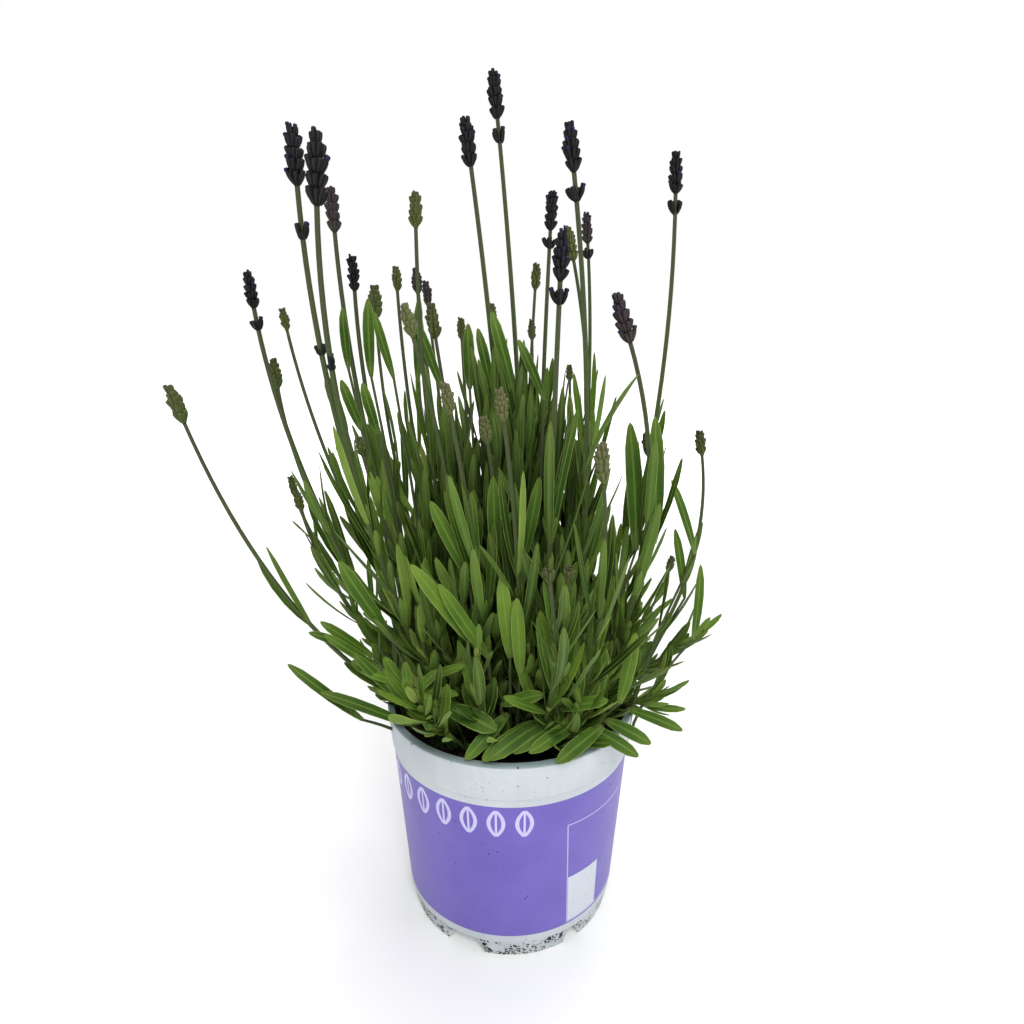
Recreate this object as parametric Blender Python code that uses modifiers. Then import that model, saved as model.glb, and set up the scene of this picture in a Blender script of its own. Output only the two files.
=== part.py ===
# Potted lavender: a nursery pot, its root ball, flowering stalks and leafy shoots.
# The origin is the middle of the pot's underside, +Z is up and -Y is the printed front.

import math
import random

import bmesh
import bpy
from mathutils import Matrix, Vector
from mathutils.bvhtree import BVHTree

MM = 0.001

# Pot, in metres
POT_HEIGHT = 0.118
RIM_RADIUS = 0.065
LIP_WIDTH = 0.0034
LIP_FALL = 0.0018
COLLAR_DEPTH = 0.019
COLLAR_TAPER = 0.0014
COLLAR_STEP = 0.0007
WALL = 0.0013
BODY_LOW_RADIUS = 0.0570
BODY_LOW_HEIGHT = 0.0146
FOOT_RADIUS = 0.0543
TURN_STEPS = 42

# Drainage channels under the pot: six, wide and narrow in turn
CHANNEL_COUNT = 6
CHANNEL_HEIGHT = 0.0090
CHANNEL_START = 0.024
CHANNEL_END = 0.070
CHANNEL_TOP_WIDTHS = (0.0105, 0.0040)
CHANNEL_BOTTOM_WIDTHS = (0.0210, 0.0100)
FIRST_CHANNEL_ANGLE = math.radians(-90.0 - 25.0)
DRAIN_RADII = (0.0040, 0.0014)
DRAIN_DISTANCE = 0.036

# Root ball
SOIL_EDGE_HEIGHT = 0.1035
SOIL_MOUND = 0.0025
GAP = 0.0003
PLANTING_DEPTH = 0.012

# Stems and leaves
STEM_BASE_RADIUS = 0.00125
STEM_TIP_RADIUS = 0.00080
STEM_POINTS = 7
LEAF_WIDTH = 0.0050
LEAF_THICKNESS = 0.0013
LEAF_CLEARANCE = 0.0005
LEAF_FOOT_SHARES = (-0.008, 0.016)
LEAF_FOOT_WIDTH = 0.55
LEAF_TURNS = (0, 24, -24, 48, -48, 72, -72)
BUD_WIDTH = 0.0062
SPIKE_WIDTH = 0.0088
SPIKE_SIDES = 6

# Stalks with a separate whorl of buds under the head, and how far it starts below the head
WHORL_GAPS = {1: 0.028, 5: 0.012, 7: 0.013, 8: 0.014, 9: 0.0095, 10: 0.011, 12: 0.008, 13: 0.011}
WHORL_LENGTH = 0.006
WHORL_WIDTH = 0.0075

# One row for each flowering stalk, in millimetres: where it leaves the soil, the point that its
# curve is pulled towards (at half height if none is given), the top of its flower head, and the
# head's length. The last word says what it carries: a flower spike, which is a part of its own,
# or a bud.
STALKS = (
    ((-30, -13), (-84, -29), (-84, -35, 383), 21, "spike"),
    ((-25, -20), (-80, -46), (-70, -55, 377), 25, "spike"),
    ((-34, 9), (-80, 21), (-85, 25, 371), 20, "spike"),
    ((-32, 18), (-79, 42), (-82, 50, 342), 17, "spike"),
    ((-40, 4), (-111, 8), (-123, 10, 332), 16, "spike"),
    ((4, 0), (-1, 4), (-20, 5, 396), 20, "spike"),
    ((10, 8), (9, 24), (-5, 30, 418), 20, "spike"),
    ((28, -16), (41, -38), (22, -45, 382), 17, "spike"),
    ((14, 16), (15, 38), (21, 45, 372), 18, "spike"),
    ((18, -23), (16, -55), (19, -65, 342), 17, "spike"),
    ((24, 27), (58, 63), (31, 75, 359), 18, "spike"),
    ((26, 34), (53, 82), (43, 95, 369), 17, "spike"),
    ((36, 2), (77, -7), (70, -10, 379), 16, "spike"),
    ((34, -16), (80, -38), (42, -45, 321), 20, "spike"),
    ((-36, 28), (-105, 54), (-124, 60, 316), 11, "bud"),
    ((-39, 13), (-113, 29), (-123, 35, 291), 15, "bud"),
    ((-16, -5), (-42, -13), (-40, -15, 363), 14, "bud"),
    ((-22, 16), (-54, 38), (-59, 45, 337), 12, "bud"),
    ((-27, 27), (-73, 63), (-76, 75, 329), 18, "bud"),
    ((-14, 11), (-37, 25), (-47, 30, 335), 12, "bud"),
    ((-16, 29), (-37, 67), (-48, 80, 331), 13, "bud"),
    ((6, 20), (7, 50), (14, 60, 339), 13, "bud"),
    ((10, 29), (15, 67), (12, 80, 310), 11, "bud"),
    ((-4, 34), (-10, 80), (-11, 95, 319), 12, "bud"),
    ((-10, 22), (-23, 50), (-27, 60, 311), 11, "bud"),
    ((-18, -14), (-17, -34), (-43, -40, 317), 13, "bud"),
    ((-8, 4), (-23, 8), (-38, 10, 318), 16, "bud"),
    ((-8, -23), (-10, -55), (-25, -65, 288), 12, "bud"),
    ((2, -25), (8, -59), (-4, -70, 286), 12, "bud"),
    ((-2, -15), (1, -38), (-11, -45, 272), 11, "bud"),
    ((28, -27), (43, -71), (33, -85, 268), 15, "bud"),
    ((32, 12), (82, 22), (70, 25, 254), 12, "bud"),
    ((39, -14), (98, -26), (83, -30, 264), 11, "bud"),
    ((-34, -8), (-112, -20, 152), (-150, -25, 283), 17, "bud"),
)

# Leafy shoots that carry a small bud or only leaves: the same columns, with no last word.
SHOOTS = (
    ((33, 20), (84, 39), (93, 45, 179), 9),
    ((10, -34), (24, -76), (14, -90, 222), 6),
    ((18, -31), (24, -66), (23, -80, 219), 7),
    ((-21, -13), (-50, -26), (-67, -30, 261), 8),
    ((-31, 21), (-112, 50), (-126, 55, 224), 12),
    ((-35, -4), (-94, 4), (-111, 16, 225), 10),
    ((14, 37), (38, 76), (35, 90, 284), 9),
    ((-20, -34), (-30, -66), (-40, -96, 150), 6),
    ((38, 4), (72, 2), (100, -6, 158), 6),
)


def clear_scene():
    for obj in list(bpy.data.objects):
        bpy.data.objects.remove(obj, do_unlink=True)


def make_collection(name):
    collection = bpy.data.collections.new(name)
    bpy.context.scene.collection.children.link(collection)
    return collection


def make_material(name, color, roughness, metallic=0.0):
    material = bpy.data.materials.new(name)
    material.use_nodes = True
    material.diffuse_color = (*color, 1.0)
    shader = material.node_tree.nodes["Principled BSDF"]
    shader.inputs["Base Color"].default_value = (*color, 1.0)
    shader.inputs["Roughness"].default_value = roughness
    shader.inputs["Metallic"].default_value = metallic
    return material


def add_object(name, mesh, collection, material=None):
    obj = bpy.data.objects.new(name, mesh)
    if material:
        mesh.materials.clear()
        mesh.materials.append(material)
    collection.objects.link(obj)
    return obj


def mark_cutter(obj):
    obj.hide_render = True
    obj.display_type = "WIRE"


def turned(name, profile, steps, collection, material=None):
    """A solid of revolution from (radius, height) points that run down its outer side."""
    mesh = bpy.data.meshes.new(name)
    points = [(radius, 0.0, height) for radius, height in profile]
    mesh.from_pydata(points, [(i, i + 1) for i in range(len(points) - 1)], [])
    obj = add_object(name, mesh, collection, material)
    screw = obj.modifiers.new("Turn", "SCREW")
    screw.steps = steps
    screw.render_steps = steps
    screw.use_merge_vertices = True
    screw.merge_threshold = 0.00002
    screw.use_smooth_shade = True
    return obj


def add_boolean(obj, cutter, operation):
    modifier = obj.modifiers.new(operation.title(), "BOOLEAN")
    modifier.operation = operation
    modifier.solver = "EXACT"
    modifier.object = cutter
    return modifier


def evaluated_mesh(obj):
    bpy.context.view_layer.update()
    graph = bpy.context.evaluated_depsgraph_get()
    return bpy.data.meshes.new_from_object(obj.evaluated_get(graph))


def evaluated_tree(obj):
    mesh = evaluated_mesh(obj)
    form = bmesh.new()
    form.from_mesh(mesh)
    form.transform(obj.matrix_world)
    tree = BVHTree.FromBMesh(form)
    form.free()
    bpy.data.meshes.remove(mesh)
    return tree


# Pot and root ball

def body_radius(height):
    """Outer radius of the straight wall between the collar and the foot's curve."""
    top = POT_HEIGHT - COLLAR_DEPTH
    share = (height - BODY_LOW_HEIGHT) / (top - BODY_LOW_HEIGHT)
    top_radius = RIM_RADIUS - COLLAR_TAPER - COLLAR_STEP
    return BODY_LOW_RADIUS + (top_radius - BODY_LOW_RADIUS) * share


def channel_cutters(name, margin, collection):
    """Six tapered prisms under the floor, grown by margin on every side."""
    form = bmesh.new()
    for index in range(CHANNEL_COUNT):
        angle = FIRST_CHANNEL_ANGLE + index * math.tau / CHANNEL_COUNT
        start = CHANNEL_START - margin
        length = CHANNEL_END - start
        box = bmesh.ops.create_cube(form, size=1.0)["verts"]
        floor = -0.002
        top = CHANNEL_HEIGHT + margin
        for vert in box:
            upper = vert.co.z > 0
            widths = CHANNEL_TOP_WIDTHS if upper else CHANNEL_BOTTOM_WIDTHS
            width = widths[index % 2] + 2.4 * margin
            vert.co.x = start + (vert.co.x + 0.5) * length
            vert.co.y *= width
            vert.co.z = top if upper else floor
        bmesh.ops.rotate(form, verts=box, matrix=Matrix.Rotation(angle, 3, "Z"))
    mesh = bpy.data.meshes.new(name)
    form.to_mesh(mesh)
    form.free()
    obj = add_object(name, mesh, collection)
    mark_cutter(obj)
    return obj


def drain_cutters(collection):
    form = bmesh.new()
    for index in range(CHANNEL_COUNT):
        angle = FIRST_CHANNEL_ANGLE + index * math.tau / CHANNEL_COUNT
        radius = DRAIN_RADII[index % 2]
        place = Matrix.Rotation(angle, 4, "Z") @ Matrix.Translation((DRAIN_DISTANCE, 0, CHANNEL_HEIGHT))
        bmesh.ops.create_cone(
            form, cap_ends=True, segments=12, radius1=radius, radius2=radius,
            depth=4 * WALL, matrix=place)
    mesh = bpy.data.meshes.new("drain_holes")
    form.to_mesh(mesh)
    form.free()
    obj = add_object("drain_holes", mesh, collection)
    mark_cutter(obj)
    return obj


def inner_profile(top, margin):
    """The pot's inside from a height within the collar down to its floor, drawn in by margin."""
    shift = WALL + margin
    collar_low = POT_HEIGHT - COLLAR_DEPTH
    return [
        (RIM_RADIUS - LIP_WIDTH - margin, top),
        (body_radius(collar_low) - shift, collar_low),
        (BODY_LOW_RADIUS - shift, BODY_LOW_HEIGHT),
        (FOOT_RADIUS + 0.0012 - shift, 0.0090),
        (FOOT_RADIUS - shift, shift),
        (0.0, shift)]


def build_pot(parts, cutters, material):
    collar_low = POT_HEIGHT - COLLAR_DEPTH
    outline = [
        (0.0, POT_HEIGHT),
        (RIM_RADIUS - LIP_WIDTH, POT_HEIGHT),
        (RIM_RADIUS - 0.3 * LIP_WIDTH, POT_HEIGHT - 0.35 * LIP_FALL),
        (RIM_RADIUS, POT_HEIGHT - LIP_FALL),
        (RIM_RADIUS - COLLAR_TAPER, collar_low),
        (body_radius(collar_low), collar_low - COLLAR_STEP),
        (BODY_LOW_RADIUS, BODY_LOW_HEIGHT),
        (BODY_LOW_RADIUS - 0.0005, 0.0102),
        (FOOT_RADIUS + 0.0014, 0.0094),
        (FOOT_RADIUS + 0.0006, 0.0020),
        (FOOT_RADIUS, 0.0),
        (0.0, 0.0)]
    pot = turned("pot", outline, TURN_STEPS, parts, material)
    add_boolean(pot, channel_cutters("channels", 0.0, cutters), "DIFFERENCE")
    above = POT_HEIGHT + 0.004
    inside = [(0.0, above)] + inner_profile(above, 0.0)
    hollow = turned("pot_inside", inside, TURN_STEPS, cutters)
    mark_cutter(hollow)
    add_boolean(hollow, channel_cutters("channel_roofs", WALL, cutters), "DIFFERENCE")
    add_boolean(pot, hollow, "DIFFERENCE")
    add_boolean(pot, drain_cutters(cutters), "DIFFERENCE")
    return pot


def build_soil(parts, cutters, material):
    edge = inner_profile(SOIL_EDGE_HEIGHT, GAP)
    rim = edge[0][0]
    mound = [(0.0, SOIL_EDGE_HEIGHT + SOIL_MOUND), (0.5 * rim, SOIL_EDGE_HEIGHT + 0.8 * SOIL_MOUND)]
    soil = turned("soil", mound + edge, TURN_STEPS, parts, material)
    roofs = channel_cutters("soil_clear_of_channels", WALL + GAP, cutters)
    add_boolean(soil, roofs, "DIFFERENCE")
    return soil


# Stems, leaves and flower heads

def stem_curve(root, knee, tip, head):
    """Points of a stem from below the soil to the foot of its head, and its end direction."""
    start = Vector((root[0], root[1], 0.0)) * MM
    start.z = SOIL_EDGE_HEIGHT
    top = Vector(tip) * MM
    height = knee[2] * MM if len(knee) == 3 else 0.5 * (start.z + top.z)
    middle = Vector((knee[0] * MM, knee[1] * MM, height))
    aim = (top - middle).normalized()
    end = top - aim * head * MM
    points = [start + Vector((0, 0, -PLANTING_DEPTH))]
    for step in range(STEM_POINTS):
        t = step / (STEM_POINTS - 1)
        points.append(start * (1 - t) ** 2 + middle * 2 * t * (1 - t) + end * t ** 2)
    return points, aim


def tube_mesh(points, radii):
    """A square tube with closed ends along the points."""
    curve = bpy.data.curves.new("tube", "CURVE")
    curve.dimensions = "3D"
    curve.bevel_depth = 1.0
    curve.bevel_resolution = 0
    curve.use_fill_caps = True
    spline = curve.splines.new("POLY")
    spline.points.add(len(points) - 1)
    for target, place, radius in zip(spline.points, points, radii):
        target.co = (*place, 1.0)
        target.radius = radius
    obj = bpy.data.objects.new("tube", curve)
    bpy.context.scene.collection.objects.link(obj)
    mesh = evaluated_mesh(obj)
    bpy.data.objects.remove(obj, do_unlink=True)
    bpy.data.curves.remove(curve)
    form = bmesh.new()
    form.from_mesh(mesh)
    bmesh.ops.remove_doubles(form, verts=form.verts, dist=0.00002)
    bmesh.ops.recalc_face_normals(form, faces=form.faces)
    form.to_mesh(mesh)
    form.free()
    return mesh


def stem_mesh(points, extra=0.0):
    count = len(points) - 1
    radii = []
    for index in range(len(points)):
        share = index / count
        radii.append(STEM_BASE_RADIUS + (STEM_TIP_RADIUS - STEM_BASE_RADIUS) * share + extra)
    return tube_mesh(points, radii)


def point_on(points, share):
    """Place and direction at a share of the way up a stem's points."""
    place = share * (len(points) - 1)
    index = min(int(place), len(points) - 2)
    low, high = points[index], points[index + 1]
    return low.lerp(high, place - index), (high - low).normalized()


def add_leaf(form, place, up, around, leaf, grow=0.0):
    """One lance-shaped leaf as a flattened and bent four-sided sphere."""
    side = up.orthogonal().normalized()
    outward = Matrix.Rotation(around, 3, up) @ side
    tilt = leaf["tilt"]
    along = up * math.cos(tilt) + outward * math.sin(tilt)
    across = up.cross(outward).normalized()
    face = along.cross(across).normalized()
    length = leaf["length"] + grow
    verts = bmesh.ops.create_uvsphere(form, u_segments=4, v_segments=4, radius=0.5)["verts"]
    for vert in verts:
        share = vert.co.z + 0.5
        narrow = 1.0
        if share < 0.3:
            narrow = LEAF_FOOT_WIDTH
            share = LEAF_FOOT_SHARES[share > 0.1]
        wide = vert.co.x * (leaf["width"] + grow) * narrow
        thick = vert.co.y * (LEAF_THICKNESS + grow)
        bend = leaf["bend"] * share * share * length
        vert.co = place + along * share * length + across * wide + face * (thick - bend)


def add_bud(form, base, aim, length, width, sides=5, rings=4):
    turn = aim.to_track_quat("Z", "Y").to_matrix().to_4x4()
    shape = Matrix.Diagonal((width, width, length, 1.0))
    middle = Matrix.Translation(base + aim * 0.5 * length)
    bmesh.ops.create_uvsphere(
        form, u_segments=sides, v_segments=rings, radius=0.5, matrix=middle @ turn @ shape)


def leaf_rows(rng, top_share, pairs, first, long, short):
    """Settings for opposite leaves, each pair a quarter turn from the last."""
    rows = []
    start = rng.uniform(0, math.tau)
    for pair in range(pairs):
        share = pair / max(pairs - 1, 1)
        for half in range(2):
            rows.append({
                "at": first + (top_share - first) * share + rng.uniform(-0.01, 0.01),
                "around": start + pair * math.pi / 2 + half * math.pi + rng.uniform(-0.3, 0.3),
                "tilt": math.radians(58 - 34 * share + rng.uniform(-6, 6)),
                "length": (long + (short - long) * share) * rng.uniform(0.85, 1.1),
                "width": LEAF_WIDTH * (1.1 - 0.25 * share),
                "bend": rng.uniform(0.02, 0.22)})
    return rows


def tree_of(form):
    form.verts.ensure_lookup_table()
    return BVHTree.FromBMesh(form)


def leaf_tree(place, up, around, leaf):
    probe = bmesh.new()
    add_leaf(probe, place, up, around, leaf, grow=2 * LEAF_CLEARANCE)
    tree = tree_of(probe)
    probe.free()
    return tree


def grow_leaves(points, rows, obstacles):
    """The leaves that clear every obstacle, each turned a little where that helps it fit."""
    form = bmesh.new()
    for leaf in rows:
        place, up = point_on(points, leaf["at"])
        for turn in LEAF_TURNS:
            around = leaf["around"] + math.radians(turn)
            tree = leaf_tree(place, up, around, leaf)
            if not any(tree.overlap(other) for other in obstacles):
                add_leaf(form, place, up, around, leaf)
                break
    return form


def fuse(stem, form, name, collection, material):
    """Stem, leaves and buds as one closed solid."""
    core = add_object("core", stem, collection)
    extra_mesh = bpy.data.meshes.new("extra")
    form.to_mesh(extra_mesh)
    form.free()
    extra = add_object("extra", extra_mesh, collection)
    union = add_boolean(core, extra, "UNION")
    union.use_self = True
    mesh = evaluated_mesh(core)
    mesh.name = name
    bpy.data.objects.remove(core, do_unlink=True)
    bpy.data.objects.remove(extra, do_unlink=True)
    return add_object(name, mesh, collection, material)


def spike_profile(length, whorls):
    """A flower spike: whorls of calyces that swell and narrow towards a blunt top."""
    profile = [(0.0, length)]
    for index in range(whorls):
        share = (index + 0.5) / whorls
        radius = 0.5 * SPIKE_WIDTH * math.sin(math.pi * (0.16 + 0.62 * share))
        high = length * (1.0 - share)
        step = 0.32 * length / whorls
        profile.append((radius * 0.82, high + step))
        profile.append((radius, high - step))
    profile.append((STEM_TIP_RADIUS * 1.6, 0.0))
    profile.append((0.0, 0.0))
    return profile


def build_spike(name, base, aim, length, collection, material):
    whorls = max(4, round(length / 0.0042))
    spike = turned(name, spike_profile(length, whorls), SPIKE_SIDES, collection, material)
    spike.location = base + aim * GAP
    spike.rotation_mode = "QUATERNION"
    spike.rotation_quaternion = aim.to_track_quat("Z", "Y")
    return spike


def build_sockets(routes, cutters):
    """Holes in the root ball, a little wider than the stems planted in them."""
    form = bmesh.new()
    for points in routes:
        start = points[0] - Vector((0, 0, GAP))
        above = points[1].lerp(points[2], 0.5)
        mesh = stem_mesh([start, points[1], above], extra=GAP * 1.5)
        form.from_mesh(mesh)
        bpy.data.meshes.remove(mesh)
    mesh = bpy.data.meshes.new("stem_sockets")
    form.to_mesh(mesh)
    form.free()
    obj = add_object("stem_sockets", mesh, cutters)
    mark_cutter(obj)
    return obj


def plan_plants():
    """Every stalk and shoot as a dictionary, from the tallest flower to the lowest shoot."""
    plants = []
    for number, (root, knee, tip, head, kind) in enumerate(STALKS, 1):
        points, aim = stem_curve(root, knee, tip, head)
        plants.append({
            "name": f"flower_stalk_{number:02d}", "points": points, "aim": aim,
            "head": head * MM, "kind": kind, "whorl_gap": WHORL_GAPS.get(number),
            "pairs": 3, "first": 0.16,
            "top": 0.60 if tip[2] > 300 else 0.66, "long": 0.048, "short": 0.040})
    for number, (root, knee, tip, head) in enumerate(SHOOTS, 1):
        points, aim = stem_curve(root, knee, tip, head)
        plants.append({
            "name": f"leafy_shoot_{number:02d}", "points": points, "aim": aim,
            "head": head * MM, "kind": "bud", "whorl_gap": None, "pairs": 4, "first": 0.20,
            "top": 0.90, "long": 0.042, "short": 0.026})
    return plants


def build_plants(parts, obstacles, green, violet):
    plants = plan_plants()
    for plant in plants:
        form = bmesh.new()
        mesh = stem_mesh(plant["points"])
        form.from_mesh(mesh)
        end = plant["points"][-1]
        if plant["kind"] == "bud":
            add_bud(form, end - plant["aim"] * 0.001, plant["aim"], plant["head"], BUD_WIDTH)
        else:
            length = plant["head"] - GAP
            add_bud(form, end, plant["aim"], length, SPIKE_WIDTH + 2 * GAP)
        plant["stem"] = mesh
        plant["tree"] = tree_of(form)
        form.free()
    grown = []
    for plant in plants:
        rng = random.Random(plant["name"])
        rows = leaf_rows(
            rng, plant["top"], plant["pairs"], plant["first"], plant["long"], plant["short"])
        others = [item["tree"] for item in plants if item is not plant]
        form = grow_leaves(plant["points"], rows, obstacles + others + grown)
        if form.verts:
            grown.append(tree_of(form))
        end, aim = plant["points"][-1], plant["aim"]
        if plant["kind"] == "bud":
            add_bud(form, end - aim * 0.001, aim, plant["head"], BUD_WIDTH)
        else:
            name = plant["name"].replace("stalk", "spike")
            build_spike(name, end, aim, plant["head"] - GAP, parts, violet)
        if plant["whorl_gap"]:
            points = plant["points"]
            length = sum((high - low).length for low, high in zip(points, points[1:]))
            place, up = point_on(points, 1.0 - plant["whorl_gap"] / length)
            add_bud(form, place, up, WHORL_LENGTH, WHORL_WIDTH)
        fuse(plant["stem"], form, plant["name"], parts, green)
    return plants


def main():
    clear_scene()
    parts = make_collection("potted_lavender")
    cutters = make_collection("cutters")
    plastic = make_material("pot_plastic", (0.63, 0.70, 0.76), 0.42)
    peat = make_material("peat", (0.035, 0.024, 0.016), 0.95)
    green = make_material("leaf_green", (0.060, 0.095, 0.028), 0.62)
    violet = make_material("flower_violet", (0.030, 0.024, 0.055), 0.70)
    pot = build_pot(parts, cutters, plastic)
    soil = build_soil(parts, cutters, peat)
    obstacles = [evaluated_tree(pot), evaluated_tree(soil)]
    plants = build_plants(parts, obstacles, green, violet)
    add_boolean(soil, build_sockets([plant["points"] for plant in plants], cutters), "DIFFERENCE")


main()
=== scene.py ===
import math

import bpy
import numpy as np
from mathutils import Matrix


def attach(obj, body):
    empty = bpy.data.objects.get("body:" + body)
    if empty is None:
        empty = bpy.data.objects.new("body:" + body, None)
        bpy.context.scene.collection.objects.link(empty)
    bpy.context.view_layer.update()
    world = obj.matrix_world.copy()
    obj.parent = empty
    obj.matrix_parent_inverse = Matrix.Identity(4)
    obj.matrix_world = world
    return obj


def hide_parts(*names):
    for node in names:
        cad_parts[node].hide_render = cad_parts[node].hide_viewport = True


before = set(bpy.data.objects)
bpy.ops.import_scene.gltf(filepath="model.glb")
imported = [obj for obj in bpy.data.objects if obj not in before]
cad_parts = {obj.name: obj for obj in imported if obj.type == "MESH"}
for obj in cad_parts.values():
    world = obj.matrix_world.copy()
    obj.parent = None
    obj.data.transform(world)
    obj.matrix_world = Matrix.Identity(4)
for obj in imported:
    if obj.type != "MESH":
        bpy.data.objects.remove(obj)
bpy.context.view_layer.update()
print("frame loaded,", len(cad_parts), "nodes")

mm = 0.001
up = np.array([0.0, 0.0, 1.0])


# Mesh helpers. A surface is a dictionary of arrays: verts (n, 3), quads, tris, marks and the slot
# of its material, so that many of them can be joined into one mesh.

def normalize(vectors):
    return vectors / np.maximum(np.linalg.norm(vectors, axis=-1, keepdims=True), 1e-12)


def tubes(rings, firstPole, lastPole, marks, slot=0):
    # Closed skins over rings (copy, ring, around, xyz), shut by one point at each end. Quads join
    # neighbouring rings, and a fan of triangles joins the end rings to their points.
    copies, count, sides = rings.shape[:3]
    each = count * sides + 2
    ringIds = np.arange(count * sides).reshape(count, sides)
    nextIds = np.roll(ringIds, -1, axis=1)
    quads = np.stack([ringIds[:-1], nextIds[:-1], nextIds[1:], ringIds[1:]], axis=-1).reshape(-1, 4)
    low = np.stack([nextIds[0], ringIds[0], np.full(sides, count * sides)], axis=-1)
    high = np.stack([ringIds[-1], nextIds[-1], np.full(sides, count * sides + 1)], axis=-1)
    tris = np.concatenate([low, high])
    offsets = (np.arange(copies) * each)[:, None, None]
    verts = np.concatenate(
        [rings.reshape(copies, -1, 3), firstPole[:, None], lastPole[:, None]], axis=1)
    flat = {}
    for name, values in marks.items():
        full = np.broadcast_to(values, (copies, count, sides)).reshape(copies, -1)
        flat[name] = np.concatenate([full, full[:, :1], full[:, -1:]], axis=1).ravel()
    return {
        "verts": verts.reshape(-1, 3), "quads": (quads + offsets).reshape(-1, 4),
        "tris": (tris + offsets).reshape(-1, 3), "marks": flat, "slot": slot}


def joined(surfaces):
    # Many surfaces as one: each one's corner numbers move up by the points that come before it,
    # and a mark that it doesn't carry is 0.
    names = sorted({name for surface in surfaces for name in surface["marks"]})
    verts, quads, tris, quadSlots, triSlots = [], [], [], [], []
    marks = {name: [] for name in names}
    start = 0
    for surface in surfaces:
        verts.append(surface["verts"])
        quads.append(surface["quads"] + start)
        tris.append(surface["tris"] + start)
        quadSlots.append(np.full(len(surface["quads"]), surface["slot"]))
        triSlots.append(np.full(len(surface["tris"]), surface["slot"]))
        for name in names:
            marks[name].append(surface["marks"].get(name, np.zeros(len(surface["verts"]))))
        start += len(surface["verts"])
    return {
        "verts": np.concatenate(verts), "quads": np.concatenate(quads), "tris": np.concatenate(tris),
        "slots": np.concatenate(quadSlots + triSlots),
        "marks": {name: np.concatenate(values) for name, values in marks.items()}}


def putMesh(name, surfaces, materials, sharpAngle=None):
    # One object from joined surfaces: corners of all quads first, then those of all triangles.
    data = joined(surfaces)
    quads, tris = data["quads"], data["tris"]
    mesh = bpy.data.meshes.new(name)
    mesh.vertices.add(len(data["verts"]))
    mesh.vertices.foreach_set("co", data["verts"].astype(np.float32).ravel())
    corners = np.concatenate([quads.ravel(), tris.ravel()])
    mesh.loops.add(len(corners))
    mesh.loops.foreach_set("vertex_index", corners.astype(np.int32))
    starts = np.concatenate([
        np.arange(len(quads)) * 4, len(quads) * 4 + np.arange(len(tris)) * 3])
    mesh.polygons.add(len(starts))
    mesh.polygons.foreach_set("loop_start", starts.astype(np.int32))
    mesh.polygons.foreach_set("material_index", data["slots"].astype(np.int32))
    mesh.polygons.foreach_set("use_smooth", np.ones(len(starts), dtype=bool))
    for mark, values in data["marks"].items():
        layer = mesh.attributes.new(mark, "FLOAT", "POINT")
        layer.data.foreach_set("value", values.astype(np.float32))
    mesh.update(calc_edges=True)
    mesh.validate()
    if sharpAngle is not None:
        mesh.set_sharp_from_angle(angle=sharpAngle)
    for material in materials:
        mesh.materials.append(material)
    piece = bpy.data.objects.new(name, mesh)
    bpy.context.scene.collection.objects.link(piece)
    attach(piece, "root")
    return piece


# Material helpers

class Value:
    # A socket that can be used in sums: each operator adds its own Math node.
    def __init__(self, paint, socket):
        self.paint = paint
        self.socket = socket

    def math(self, operation, other=None, swapped=False):
        inputs = [self] if other is None else [self, other]
        if swapped:
            inputs.reverse()
        return self.paint.node("ShaderNodeMath", {"operation": operation}, dict(enumerate(inputs)))

    def __add__(self, other):
        return self.math("ADD", other)

    def __sub__(self, other):
        return self.math("SUBTRACT", other)

    def __mul__(self, other):
        return self.math("MULTIPLY", other)

    def __truediv__(self, other):
        return self.math("DIVIDE", other)

    def __pow__(self, other):
        return self.math("POWER", other)

    def __rsub__(self, other):
        return self.math("SUBTRACT", other, swapped=True)

    __radd__ = __add__
    __rmul__ = __mul__

    def size(self):
        return self.math("ABSOLUTE")

    def most(self, other):
        return self.math("MAXIMUM", other)

    def rest(self):
        return self.math("FRACT")

    def above(self, edge):
        return self.math("GREATER_THAN", edge)

    def soft(self, low, high):
        # 0 below low, 1 above high and a smooth step between them
        return self.paint.node(
            "ShaderNodeMapRange", {"interpolation_type": "SMOOTHSTEP"},
            {"Value": self, "From Min": low, "From Max": high})


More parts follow.
